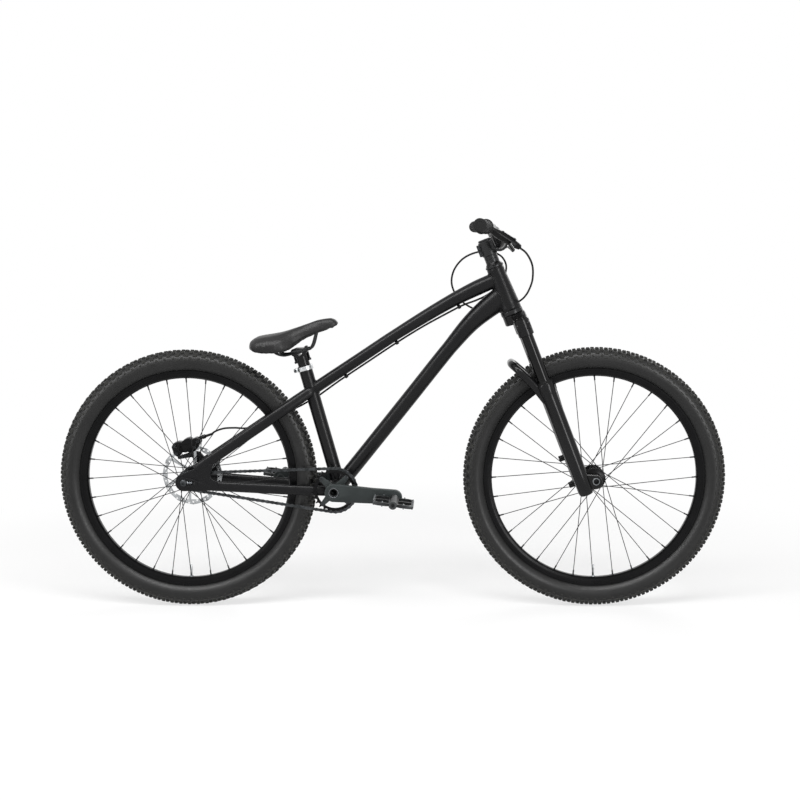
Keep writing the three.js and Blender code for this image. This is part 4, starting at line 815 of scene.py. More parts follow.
def oval_rings(line: Sequence[Vector], heights: Sequence[float], widths: Sequence[float],
               sides: int, beside: Vector = Vector((0, 1, 0))) -> list[list[Vector]]:
    """Oval rings square to a line.

    Args:
        line: Places in metres.
        heights: Half height at each place, in millimetres.
        widths: Half width at each place, along `beside`.
        sides: Points in a ring.
        beside: The direction that the width follows.

    Returns:
        The rings.
    """
    rings = []
    for i, place in enumerate(line):
        tangent = (line[min(i + 1, len(line) - 1)] - line[max(i - 1, 0)]).normalized()
        across = (beside - tangent * beside.dot(tangent)).normalized()
        normal = tangent.cross(across)
        rings.append([place + (normal * heights[i] * math.cos(a) + across * widths[i] * math.sin(a)) * MM
                      for a in (TAU * k / sides for k in range(sides))])
    return rings


def between(values: Sequence[float], share: float) -> float:
    """Value at a share of an evenly spaced list, straight between its entries."""
    place = min(share * (len(values) - 1), len(values) - 1 - 1e-9)
    whole = int(place)
    return values[whole] + (values[whole + 1] - values[whole]) * (place - whole)


def evenly(values: Sequence[float], count: int) -> list[float]:
    """A list's values spread over a count of places."""
    return [between(values, i / (count - 1)) for i in range(count)]


# The bike's main places


@dataclass(frozen=True)
class Plan:
    """Driving sizes, in millimetres and degrees, and the frames that they set."""

    front_axle: Triple = (525.011, 0.0, 336.0)
    rear_axle: Triple = (-525.011, 0.0, 336.0)
    bracket: Triple = (-140.189, 0.0, 311.0)
    steering_foot: Triple = (481.981, 0.0, 319.74)
    head_angle: float = 69.3
    seat_angle: float = 74.7
    seat_tube_length: float = 322.0
    seat_tube_offset: float = 8.9
    crank_length: float = 155.0
    crank_drop: float = 4.5
    pedal_tilt: float = 7.5
    chain_pitch: float = 12.7
    chain_links: int = 80
    ring_teeth: int = 28
    cog_teeth: int = 10
    chain_line: float = 45.0

    def steering(self) -> Matrix:
        """Matrix of the steering frame, whose Z runs up the steerer."""
        return shift(*self.steering_foot) @ turn(self.head_angle - 90, "Y")

    def up_steering(self, height: float) -> Vector:
        """Place at a height on the steering axis, in metres."""
        return self.steering() @ (Vector((0, 0, height)) * MM)

    def seat(self) -> Matrix:
        """Matrix of the seat frame, whose Z runs up the seat tube from its collar."""
        lean = turn(self.seat_angle - 90, "Y")
        reach = Vector((self.seat_tube_offset, 0, self.seat_tube_length)) * MM
        return Matrix.Translation(Vector(self.bracket) * MM + lean @ reach) @ lean

    def up_seat(self, height: float) -> Vector:
        """Place at a height on the seat tube's axis, in metres."""
        return self.seat() @ (Vector((0, 0, height)) * MM)

    def wheel(self, name: str) -> Matrix:
        """Matrix at the front or rear wheel's axle."""
        return shift(*(self.front_axle if name == "front" else self.rear_axle))

    def drive(self) -> Matrix:
        """Matrix at the bottom bracket."""
        return shift(*self.bracket)

    def crank(self) -> Matrix:
        """Matrix of the cranks, whose X runs along the right arm."""
        return self.drive() @ turn(self.crank_drop, "Y")


PLAN = Plan()


# Studio


@dataclass
class Studio:
    """Camera, floor, backdrop and lamps."""

    place: Triple = (163.4, -3551.0, 959.3)
    pitch: float = 6.76
    yaw: float = -2.19
    roll: float = -0.54
    focal_px: float = 1390.0
    frame_px: float = 800.0
    sensor: float = 36.0
    fade_from: float = 1.0
    fade_to: float = 1.9
    floor_keep: float = 0.66
    sky: float = 0.2

    def camera(self) -> None:
        """Set the camera where the photograph's camera stood."""
        data = bpy.data.cameras.new("camera")
        data.sensor_width = self.sensor
        data.sensor_fit = "HORIZONTAL"
        data.lens = self.focal_px / self.frame_px * self.sensor
        data.clip_end = 200
        camera = bpy.data.objects.new("camera", data)
        bpy.context.scene.collection.objects.link(camera)
        pitch, yaw, roll = (math.radians(v) for v in (self.pitch, self.yaw, self.roll))
        ahead = Vector((math.sin(yaw) * math.cos(pitch), math.cos(yaw) * math.cos(pitch), -math.sin(pitch)))
        right = Vector((math.cos(yaw), -math.sin(yaw), 0))
        up = right.cross(ahead)
        level = right * math.cos(roll) + up * math.sin(roll)
        upright = up * math.cos(roll) - right * math.sin(roll)
        camera.matrix_world = shift(*self.place) @ Matrix((level, upright, -ahead)).transposed().to_4x4()
        bpy.context.scene.camera = camera

    @staticmethod
    def seen_by(tree: bpy.types.NodeTree, *rays: str) -> bpy.types.NodeSocket:
        """Tell whether a ray is of one of these kinds.

        Args:
            tree: The node tree.
            *rays: Outputs of the light path node.

        Returns:
            The socket that holds 1 for such a ray and 0 for another.
        """
        path = add_node(tree, "ShaderNodeLightPath").outputs
        found = path[rays[0]]
        for ray in rays[1:]:
            found = add_node(tree, "ShaderNodeMath", {"operation": "MAXIMUM"},
                             {0: found, 1: path[ray]}).outputs[0]
        return found

    def floor(self) -> None:
        """Lay a pale floor that keeps the shadow near the bike and fades to white."""
        Shop.clear()
        bpy.ops.mesh.primitive_plane_add(size=120)
        obj = Shop.move(Shop.named(bpy.context.object, "floor"), shift(z=-0.5))
        material = bpy.data.materials.new("white_floor")
        material.use_nodes = True
        tree = material.node_tree
        tree.nodes.remove(tree.nodes["Principled BSDF"])
        paper = add_node(tree, "ShaderNodeBsdfDiffuse", inputs={"Color": (0.97, 0.97, 0.97, 1)}).outputs[0]
        white = add_node(tree, "ShaderNodeEmission", inputs={"Color": WHITE, "Strength": 1.0}).outputs[0]
        keep = add_node(tree, "ShaderNodeMixShader", inputs={0: self.floor_keep, 1: paper, 2: white})
        place = add_node(tree, "ShaderNodeTexCoord").outputs["Object"]
        reach = add_node(tree, "ShaderNodeVectorMath", {"operation": "LENGTH"}, {0: place})
        fade = add_node(tree, "ShaderNodeMapRange", {"interpolation_type": "SMOOTHSTEP"}, {
            "Value": reach.outputs["Value"], "From Min": self.fade_from, "From Max": self.fade_to})
        seen = add_node(tree, "ShaderNodeMixShader", inputs={
            0: fade.outputs["Result"], 1: keep.outputs[0], 2: white})
        either = self.seen_by(tree, "Is Camera Ray", "Is Glossy Ray")
        final = add_node(tree, "ShaderNodeMixShader", inputs={0: either, 1: paper, 2: seen.outputs[0]})
        tree.links.new(final.outputs[0], tree.nodes["Material Output"].inputs["Surface"])
        obj.data.materials.append(material)

    def world(self) -> None:
        """Surround the bike with an even pale light, white to the camera and in reflections."""
        world = bpy.data.worlds.new("studio")
        bpy.context.scene.world = world
        world.use_nodes = True
        tree = world.node_tree
        background = tree.nodes["Background"]
        background.inputs["Color"].default_value = WHITE
        background.inputs["Strength"].default_value = self.sky
        white = add_node(tree, "ShaderNodeBackground", inputs={"Color": WHITE, "Strength": 1.0})
        seen = self.seen_by(tree, "Is Camera Ray", "Is Transmission Ray", "Is Glossy Ray")
        mix = add_node(tree, "ShaderNodeMixShader", inputs={0: seen, 1: background.outputs[0],
                                                            2: white.outputs[0]})
        tree.links.new(mix.outputs[0], tree.nodes["World Output"].inputs["Surface"])

    @staticmethod
    def lamp(name: str, place: Point, target: Point, size: tuple[float, float], watts: float) -> None:
        """Hang one soft rectangular lamp.

        Args:
            name: The lamp's name.
            place: Where it hangs, in metres.
            target: What it points at.
            size: Its two sides in metres.
            watts: Its power.
        """
        data = bpy.data.lights.new(name, "AREA")
        data.shape = "RECTANGLE"
        data.size, data.size_y = size
        data.energy = watts
        obj = bpy.data.objects.new(name, data)
        bpy.context.scene.collection.objects.link(obj)
        facing = (Vector(target) - Vector(place)).to_track_quat("-Z", "Y")
        obj.matrix_world = Matrix.Translation(Vector(place)) @ facing.to_matrix().to_4x4()

    def build(self) -> None:
        """Set up the whole studio."""
        self.camera()
        self.floor()
        self.world()
        self.lamp("overhead", (-0.9, -1.7, 3.1), (-0.9, 0, 0.5), (4.4, 0.8), 112)
        self.lamp("left_side", (-3.3, -2.3, 1.5), (0.2, 0, 0.5), (0.7, 2.2), 34)
        self.lamp("right_side", (2.35, -2.9, 1.2), (0.4, 0, 0.5), (0.8, 2.2), 54)
        self.lamp("far_side", (1.8, 2.8, 2.4), (0, 0, 0.5), (2.4, 1.6), 44)
        bpy.context.scene.view_settings.view_transform = "Standard"


# Brake hose


@dataclass
class BrakeHose:
    """Hydraulic hose from the master cylinder to the rear caliper, in two stretches."""

    radius: float = 2.5
    under_tube: float = 4.2
    clip_shares: Triple = (0.78, 0.45, 0.17)
    meet_share: float = 0.001
    front_route: tuple[Triple, ...] = (
        (326, -212, 926), (339, -202, 916), (356, -168, 888), (361, -112, 850), (356, -62, 823),
        (349, -27, 806), (339, 4, 793), (322, 30, 781), (299, 46, 771), (269, 55, 763),
        (236, 60, 763), (204, 62, 776), (176, 62, 800), (162, 61, 834), (168, 60, 868),
        (192, 58, 898), (228, 56, 914), (262, 53, 915), (290, 47, 903), (302, 42, 880),
        (297, 38, 852), (279, 32, 826), (252, 22, 805), (223, 10, 792), (199.5, 2, 784.3))
    rear_end: tuple[Triple, ...] = (
        (-162, 22, 564), (-187, 31, 546), (-215, 38, 530), (-242, 50, 515), (-270, 57, 503),
        (-300, 60.5, 490), (-340, 64, 473), (-378, 65, 458), (-413, 62, 459), (-440, 58, 458),
        (-462, 55, 451), (-472, 54, 444))

    def under_top_tube(self, share: float) -> Vector:
        """Place under the top tube.

        Args:
            share: Share of the tube's length from the seat tube.

        Returns:
            The place in metres.
        """
        frame = MainFrame()
        line = spline(frame.top_tube_line(), 40)
        place = at_share(line, share)
        tangent = (at_share(line, min(share + 0.005, 1)) - at_share(line, share - 0.005)).normalized()
        swell = (frame.top_tube_front - frame.top_tube_middle) * smoothstep(share, 0.5, 0.9)
        tube = frame.top_tube_middle + swell
        down = Vector((tangent.z, 0, -tangent.x))
        return place + down * (tube + self.under_tube) * MM

    def build(self) -> None:
        """Lay both stretches, routed past the places of their clips."""
        first = self.clip_shares[0]
        front = [*[Vector(p) * MM for p in self.front_route], self.under_top_tube(first + self.meet_share)]
        self.stretch("hose_front_jacket", front, "hose_front", "steering")
        rear = [self.under_top_tube(share) for share in (first - self.meet_share, 0.6, self.clip_shares[1],
                                                         0.3, self.clip_shares[2], 0.14)]
        rear += [Vector(p) * MM for p in self.rear_end]
        self.stretch("hose_rear_jacket", rear, "hose_rear", "frame")

    def stretch(self, name: str, route: Sequence[Vector], node: str, body: str) -> None:
        """Lay one stretch of hose.

        Args:
            name: The piece's name.
            route: Its points in metres.
            node: The solid that it replaces.
            body: The body of its first end.
        """
        path = spline(route, 12)
        obj = Shop.wire(name, path, self.radius, 14)
        Shop.smooth(obj, 60)
        if body == "steering":
            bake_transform(obj)
            obj.data.materials.append(Finishes.hose.material())
            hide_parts(node)
        else:
            hand_over(obj, body, Finishes.hose, node, angle=None)
        LOG.info("cord %s: %.3f m", name, run_length(path))


# Frame


@dataclass
class MainFrame:
    """Welded frame: head tube, top tube, down tube, seat tube, shell, stays and dropouts."""

    head_bottom: float = 479.0
    head_top: float = 595.0
    head_top_radius: float = 22.0
    head_bottom_radius: float = 27.5
    seat_tube_radius: float = 17.5
    seat_tube_top: float = 5.0
    shell_radius: float = 21.0
    shell_half: float = 36.5
    down_tube_drop: float = 5.0
    down_tube_head: float = 520.0
    down_tube_bow: float = 19.4
    stay_sides: int = 28
    chain_half: tuple[float, float] = (13.0, 7.5)
    seat_half: tuple[float, float] = (13.5, 8.0)
    fade_step: float = 4.0
    tail_radius: float = 22.0
    plate_inner: float = 67.5
    plate_outer: float = 71.2
    pad_outer: float = 74.5
    slot_half: float = 5.4
    slot_front: float = 24.0
    bead: float = 2.1
    bead_pitch: float = 3.4
    top_tube_join: float = 62.0
    top_tube_head: float = 565.0
    top_tube_middle: float = 14.5
    top_tube_front: float = 19.5
    top_tube_bow: float = 13.0
    skins: dict = field(default_factory=dict)

    def top_tube_line(self) -> list[Vector]:
        """Points along the top tube's bowed centre line, in metres."""
        bow = ((0, 0), (0.27, 0.55), (0.48, 0.95), (0.75, 1), (0.89, 0.6), (1, 0))
        return self.bowed(PLAN.up_seat(-self.top_tube_join), PLAN.up_steering(self.top_tube_head),
                          self.top_tube_bow, bow)

    @staticmethod
    def bowed(start: Vector, end: Vector, bow: float, shares: Outline) -> list[Vector]:
        """Line between two ends with a bow.

        Args:
            start: One end in metres.
            end: The other end.
            bow: Rise of the bow in millimetres.
            shares: Pairs of the share along and the share of the bow.

        Returns:
            The points.
        """
        chord = end - start
        lift = Vector((-chord.z, 0, chord.x)).normalized()
        return [start + chord * along + lift * bow * bow_share * MM for along, bow_share in shares]

    def skin(self, name: str, points: Sequence[Vector], heights: Sequence[float],
             widths: Sequence[float]) -> Object:
        """Draw one frame tube and remember its rings.

        Args:
            name: The tube's name.
            points: Its centre line.
            heights: Half heights, evenly spaced along it.
            widths: Half widths.

        Returns:
            The tube.
        """
        line = spline(points, 8)
        self.skins[name] = oval_rings(line, evenly(heights, len(line)), evenly(widths, len(line)), 40)
        return Shop.loft(name, self.skins[name])

    def weld(self, tube: str, targets: Sequence[Object], reverse: bool = False) -> list[Object]:
        """Lay a rippled weld bead where a tube meets other tubes.

        Each line along the tube is followed until it first meets one of the others.

        Args:
            tube: The tube's name.
            targets: The tubes that it is welded to.
            reverse: Whether the joint is at the start of the tube's rings.

        Returns:
            The bead, or nothing where the tube misses them.
        """
        rings = self.skins[tube][::-1] if reverse else self.skins[tube]
        trees = [BVHTree.FromPolygons([v.co.copy() for v in t.data.vertices],
                                      [tuple(p.vertices) for p in t.data.polygons]) for t in targets]
        loop = []
        for line in zip(*rings):
            for a, b in zip(line, line[1:]):
                step = b - a
                hits = [tree.ray_cast(a, step.normalized(), step.length)[0] for tree in trees]
                hits = [hit for hit in hits if hit is not None]
                if hits:
                    loop.append(min(hits, key=lambda hit: (hit - a).length))
                    break
        if len(loop) < len(rings[0]) * 0.6:
            return []
        loop.append(loop[0])
        count = max(24, round(run_length(loop) / (self.bead_pitch * MM / 3)))
        places = [at_share(loop, i / count) for i in range(count)]
        radii = [self.bead * (1 + 0.16 * math.sin(TAU * i / 3)) for i in range(count)]
        return [Shop.wire("bead", places, radii, 8, closed=True)]

    def front_triangle(self) -> list[Object]:
        """Make the head tube, the three main tubes and the bracket shell."""
        r1, r2 = self.head_bottom_radius, self.head_top_radius
        low, high = self.head_bottom, self.head_top
        head = Shop.turned("head_tube", [
            (0, low), (r1 - 1, low), (r1, low + 1), (r1, low + 9), (r1 - 0.5, low + 10.5),
            (r1 - 0.6, low + r1 - 6), (r1 - 1.2, low + r1), (r2 + 1.0, high - r2 - 8), (r2, high - r2),
            (r2 - 0.4, high - 11), (r2, high - 9.5), (r2, high - 1), (r2 - 1, high), (0, high)], 56)
        Shop.move(head, PLAN.steering())
        thin, mid, front = 15.0, self.top_tube_middle, self.top_tube_front
        top = self.skin("top_tube", self.top_tube_line(), [thin, mid, mid, (mid + front) / 2, front, front],
                        [thin, thin, thin, 16.5, 18, 18])
        start = (Vector(PLAN.bracket) + Vector((0, 0, -self.down_tube_drop))) * MM
        line = self.bowed(start, PLAN.up_steering(self.down_tube_head), self.down_tube_bow, (
            (0, 0), (0.186, 0.24), (0.457, 0.62), (0.708, 0.98), (0.833, 1), (0.917, 0.62), (1, 0)))
        down = self.skin("down_tube", line, [19, 19, 19, 19, 23, 27, 31], [19, 19, 19, 19, 22, 22, 22])
        foot, radius = -PLAN.seat_tube_length, self.seat_tube_radius
        seat_line = [PLAN.up_seat(z) for z in (foot + 4, foot * 0.75, foot * 0.5, foot * 0.25,
                                               self.seat_tube_top)]
        seat = self.skin("seat_tube", seat_line, [radius] * 5, [radius] * 5)
        half = self.shell_half
        shell = Shop.turned("bracket_shell", drum(self.shell_radius, -half, half, 1), 56)
        Shop.move(shell, PLAN.drive() @ AXLE)
        beads = [*self.weld("top_tube", [head]), *self.weld("top_tube", [seat], True),
                 *self.weld("down_tube", [head, top]), *self.weld("down_tube", [shell, seat], True),
                 *self.weld("seat_tube", [shell], True)]
        return [head, top, down, seat, shell, *beads]

    def stay(self, name: str, low: Vector, high: Vector, shares: Outline, half: tuple[float, float],
             fade: int = 0) -> Object:
        """Draw one stay of the left side with a domed rear end.

        Args:
            name: The stay's name.
            low: Where its run starts, in metres.
            high: Where its run ends.
            shares: Pairs of the share of the run and the place across in millimetres.
            half: Half height and half width.
            fade: Rings in the taper at the front end.

        Returns:
            The stay.
        """
        line = []
        for share, across in shares:
            place = low.lerp(high, share)
            line.append(Vector((place.x, across * MM, place.z)))
        line = spline(line, 8)
        heading, forward = (line[-1] - line[-2]).normalized(), (line[0] - line[1]).normalized()
        heights, widths = [half[0]] * len(line), [half[1]] * len(line)
        for step in (1, 2, 3):
            swell = math.cos(math.pi / 2 * step / 3.4)
            line.append(line[-1] + heading * half[1] * MM * 0.33)
            heights.append(half[0] * (0.45 + 0.55 * swell))
            widths.append(half[1] * (0.3 + 0.7 * swell))
        for step in range(1, fade + 1):
            swell = 0.2 + 0.8 * math.cos(math.pi / 2 * step / (fade + 0.4))
            line.insert(0, line[0] + forward * self.fade_step * MM)
            heights.insert(0, half[0] * swell)
            widths.insert(0, half[1] * swell)
        self.skins[name] = oval_rings(line, heights, widths, self.stay_sides)
        return Shop.loft(name, self.skins[name])

    def dropout(self) -> Object:
        """Cut one sliding dropout of the left side with its slot and rounded edges."""
        x, _, z = PLAN.rear_axle
        radius, half, inner = self.tail_radius, self.slot_half, self.plate_inner
        shares = ((2.365, -0.98), (3.698, -0.93), (3.999, -0.7), (3.999, 0.1), (3.612, 0.22), (3.182, 0.5),
                  (3.139, 1.1), (3.44, 2.05), (3.268, 2.2), (2.58, 2.2))
        outline = [*arc(x, z, radius, 105, 275, 20), *[(x + a * radius, z + b * radius) for a, b in shares]]
        plate = Shop.bevel(Shop.plate("dropout", outline, inner, self.plate_outer), 1.1, 3, 40)
        pad = [*arc(x, z, 15.5, 60, 300, 24), *arc(x + self.slot_front + 3, z, 9.5, -60, 60, 8)]
        slot = [*arc(x, z, half, 90, 270, 10), *arc(x + self.slot_front, z, half, -90, 90, 10)]
        pad = Shop.bevel(Shop.plate("axle_pad", pad, inner + 1, self.pad_outer), 0.9, 2, 40)
        parts = [Shop.carve(solid, Shop.plate("slot", slot, inner - 5, self.pad_outer + 5))
                 for solid in (plate, pad)]
        return Shop.move(Shop.join("dropout", parts), SIDEWAYS)

    def stays(self, side: int, shell: Object, tube: Object) -> list[Object]:
        """Make the stays and the dropout of one side.

        Args:
            side: -1 for the right, 1 for the left.
            shell: The bracket shell, which the chainstay is welded to.
            tube: The seat tube, which the seat stay is welded to.

        Returns:
            The pieces.
        """
        axle, bracket = Vector(PLAN.rear_axle), Vector(PLAN.bracket)
        high = self.chain_half[0]
        chain = self.stay(
            "chainstay", (bracket + Vector((0, 0, -high / 2))) * MM, (axle + Vector((0, 0, -high / 3))) * MM,
            ((0.03, 28), (0.115, 33), (0.163, 36.5), (0.26, 43.5), (0.47, 52), (0.73, 60.5), (0.925, 66.5)),
            self.chain_half)
        seat = self.stay(
            "seatstay", PLAN.up_seat(-self.top_tube_join), (axle + Vector((0, 0, self.tail_radius / 2))) * MM,
            ((0.02, 20), (0.07, 26), (0.14, 34), (0.21, 41.5), (0.29, 47), (0.4, 51), (0.65, 58.5),
             (0.885, 66.5)),
            self.seat_half, fade=5)
        parts = [chain, seat, self.dropout(), *self.weld("chainstay", [shell], True),
                 *self.weld("seatstay", [tube], True)]
        return [Shop.move(part, MIRROR) for part in parts] if side < 0 else parts

    def build(self) -> None:
        """Build, weld and paint the frame."""
        front = self.front_triangle()
        sides = {name: self.stays(side, front[4], front[3]) for name, side in SIDES}
        hand_over(Shop.join("welded_front_triangle", front), "frame", Finishes.frame_coat,
                  "front_triangle", angle=50)
        for name, parts in sides.items():
            hand_over(Shop.join(f"{name}_stays_and_dropout", parts), "frame", Finishes.frame_coat,
                      f"{name}_stays", angle=45)


# Wheels


@dataclass
class Wheel:
    """A wheel: tyre with its tread blocks, rim, crossed spokes, nipples and hub."""

    name: str = "front"
    flanges: tuple[float, float] = (-27.0, 27.0)
    flange_radius: float = 28.0
    hub_ends: tuple[float, float] = (-54.6, 54.6)
    end_radius: float = 15.0
    shell_radius: float = 16.0
    mount: tuple[float, float] = (20.0, 39.0)
    section_centre: float = 306.5
    carcass_high: float = 26.0
    carcass_half: float = 27.0
    bead_radius: float = 281.4
    bead_half: float = 14.5
    blocks_round: int = 90
    block_sunk: float = 1.2
    tread_top: float = 335.9
    rim_outer: float = 283.0
    rim_inner: float = 262.0
    rim_half: float = 14.5
    spoke_count: int = 32
    spoke_radius: float = 1.0
    spoke_cross: int = 3
    flange_thick: float = 3.0
    valve_length: float = 32.0
    spoke_end: float = 262.4

    def carcass_point(self, degrees: float) -> Vector:
        """Place on the tyre's section at an angle from its crown, X along the radius and Z across."""
        a = math.radians(degrees)
        return Vector((self.section_centre + self.carcass_high * math.cos(a), 0,
                       self.carcass_half * math.sin(a)))

    def carcass(self) -> Object:
        """Turn the tyre's casing with its sidewall ribs and beads."""
        outer = [self.carcass_point(a) for a in range(0, 106, 5)]
        half = [(p.x, p.z) for p in outer]
        half[11] = (half[11][0] + 0.5, half[11][1] + 0.35)
        bead = [(290.5, 21.6), (287.0, 17.4), (self.rim_outer + 0.9, self.bead_half + 0.6),
                (self.rim_outer + 0.2, self.bead_half - 1.4), (self.bead_radius, self.bead_half - 1.8)]
        inside = [(self.bead_radius, self.bead_half - 3.2), (300, 23), (318, 20), (326, 10)]
        up = half + bead + inside
        return Shop.turned(f"{self.name}_casing", [*up, (328, 0), *[(r, -z) for r, z in up[:0:-1]]], 128)

    def block(self, degrees: float, across: float, along: float, place: float, high: float) -> Object:
        """Shape one tread block on the casing.

        Args:
            degrees: Its place across the tread.
            across: Its width in millimetres.
            along: Its length round the tyre.
            place: Its place round the tyre, in degrees.
            high: Its height above the casing.

        Returns:
            The block.
        """
        Shop.clear()
        bpy.ops.mesh.primitive_cube_add(size=1)
        obj = bpy.context.object
        for vertex in obj.data.vertices:
            top = vertex.co.x > 0
            draft = 0.84 if top else 1.06
            vertex.co = Vector((high if top else -self.block_sunk, vertex.co.y * along * draft,
                                vertex.co.z * across * draft)) * MM
        Shop.bevel(obj, 0.45, 1, 30)
        a = math.radians(degrees)
        lean = math.atan2(math.sin(a) / self.carcass_half, math.cos(a) / self.carcass_high)
        return Shop.move(obj, turn(place, "Z") @ shift(*self.carcass_point(degrees))
                         @ Matrix.Rotation(-lean, 4, "Y"))

    def tread(self) -> Object:
        """Repeat one stretch of tread round the tyre."""
        step = 360 / self.blocks_round
        high = self.tread_top - self.section_centre - self.carcass_high
        rows = ((10, 7.6, 9.5, 0, high + 0.1), (29, 8.0, 8.6, 0.5, high), (50, 9.5, 10.5, 0, high - 0.1),
                (68, 5.0, 6.0, 0.5, 1.6), (82, 2.2, 13.0, 0, 0.6))
        row = [self.block(side * degrees, across, along, (0.25 * side + offset) * step, tall)
               for side in (-1, 1) for degrees, across, along, offset, tall in rows]
        segment = Shop.join(f"{self.name}_tread", row)
        Shop.pick(segment)
        bpy.ops.object.mode_set(mode="EDIT")
        bpy.ops.mesh.select_all(action="SELECT")
        bpy.ops.mesh.spin(steps=self.blocks_round - 1, dupli=True, center=(0, 0, 0), axis=(0, 0, 1),
                          angle=TAU * (self.blocks_round - 1) / self.blocks_round)
        bpy.ops.object.mode_set(mode="OBJECT")
        return segment

    def rim(self) -> Object:
        """Turn the box-section rim."""
        outer, inner, half = self.rim_outer, self.rim_inner, self.rim_half
        side = [(outer - 2.6, half - 2.6), (outer, half - 1.6), (outer, half - 0.6), (outer - 0.5, half),
                (outer - 5.5, half), (outer - 6, half - 0.6), (inner + 10, half - 1),
                (inner + 8.6, half - 1.4), (inner + 4, half - 3.4), (inner + 1.2, half - 7.5), (inner, 5.5)]
        return Shop.turned(f"{self.name}_rim_ring", mirrored(side, 1), 128)

    def spoke_ends(self) -> list[tuple[Vector, Vector]]:
        """Ends of every spoke in millimetres, hub end first, with Y across the bike."""
        ends = []
        per_side = self.spoke_count // 2
        for index, flange in enumerate(self.flanges):
            hand = 1 if flange > 0 else -1
            for i in range(per_side):
                leading = 1 if i % 2 == 0 else -1
                start = (i + index / 2) / per_side * TAU
                sweep = leading * self.spoke_cross / per_side * TAU
                low = Matrix.Rotation(start, 3, "Y") @ Vector((0, 0, self.flange_radius - self.flange_thick))
                low.y = flange + leading * (self.flange_thick / 2 + 0.65) * hand
                high = Matrix.Rotation(start + sweep, 3, "Y") @ Vector((0, 0, self.spoke_end))
                high.y = hand * 1.3
                ends.append((low, high))
        return ends

    def spokes(self) -> tuple[Object, Object]:
        """Draw one spoke and one nipple and set them all round the wheel."""
        r = self.spoke_radius
        wire = Shop.turned("spoke", [(0, -2.2), (1.7, -2.2), (1.9, -1.4), (1.3, -0.3), (r, 0.4), (r, 1.0),
                                     (0, 1.0)], 10)
        made, nuts = [], []
        for low, high in self.spoke_ends():
            run = high - low
            spoke = Shop.copy(wire, "spoke")
            for vertex in spoke.data.vertices:
                if vertex.co.z > 0.9 * MM:
                    vertex.co.z = (run.length - 1) * MM
            made.append(Shop.move(spoke, shift(*low) @ aim(run)))
            nuts.append(shift(*high) @ aim(run))
        bpy.data.objects.remove(wire)
        nipple = Shop.turned("nipple", [(0, -12), (1.3, -12), (1.9, -11.4), (1.9, -3), (2.7, -0.8),
                                        (2.7, 0.6), (0, 0.6)], 12)
        return (Shop.join(f"{self.name}_spokes", made),
                Shop.copies(f"{self.name}_nipples", nipple, nuts))

    def hub(self) -> Object:
        """Turn the hub shell with its two flanges and its rotor mount."""
        right, left = self.flanges
        radius, thick = self.flange_radius, self.flange_thick / 2
        (low, high), (mount, mount_end) = self.hub_ends, self.mount
        end, shell = self.end_radius, self.shell_radius
        profile = [(0, low), (end - 1, low), (end, low + 1), (end, right - 6), (end + 1.5, right - 4.2),
                   (radius - 5, right - thick - 0.6), (radius - 0.8, right - thick),
                   (radius, right - thick + 0.8), (radius, right + thick - 0.8),
                   (radius - 0.8, right + thick), (radius - 6, right + thick + 0.5), (shell + 2, right + 7),
                   (shell, right + 12), (shell - 1.2, (right + left) / 2), (shell, left - 12),
                   (shell + 2, left - 7), (radius - 6, left - thick - 0.5), (radius - 0.8, left - thick),
                   (radius, left - thick + 0.8), (radius, left + thick - 0.8), (radius - 0.8, left + thick),
                   (mount, left + 5), (mount, mount_end - 1), (mount - 1, mount_end), (end, mount_end),
                   (end, high - 1), (end - 1, high), (0, high)]
        return Shop.turned(f"{self.name}_hub_shell", profile, 56)

    def valve(self) -> Object:
        """Turn the valve with its lock ring, knurled cap and stem, pointing in from the rim."""
        length = self.valve_length
        profile = [(0, 4), (3, 4), (3, 0.4), (4.9, 0.4), (5.2, -0.2), (5.2, -2.2), (4.9, -2.7), (2.8, -2.8)]
        profile += [(2.8 if i % 2 else 2.5, -3.4 - i) for i in range(round(length - 16) - 2)]
        profile += [(3, 14 - length), (3, 1 - length), (2.2, -length), (0, -length)]
        valve = Shop.turned(f"{self.name}_valve", [(r, -z) for r, z in profile], 20)
        return Shop.move(valve, shift(z=-self.rim_inner))

    def build(self) -> None:
        """Build and dress the wheel."""
        axle = PLAN.wheel(self.name)
        body, across = f"{self.name}_wheel", axle @ AXLE
        hand_over(self.carcass(), body, Finishes.casing, f"{self.name}_tyre", place=across, angle=50)
        hand_over(self.tread(), body, Finishes.tread, place=across, angle=50)
        hand_over(self.rim(), body, Finishes.rim, f"{self.name}_rim", place=across, angle=30)
        hand_over(self.valve(), body, Finishes.stainless, place=axle)
        spokes, nipples = self.spokes()
        hand_over(spokes, body, Finishes.spoke, place=axle, angle=60)
        hand_over(nipples, body, Finishes.anodised, place=axle)
        hand_over(self.hub(), body, Finishes.anodised, f"{self.name}_hub", place=across, angle=30)


# Drive


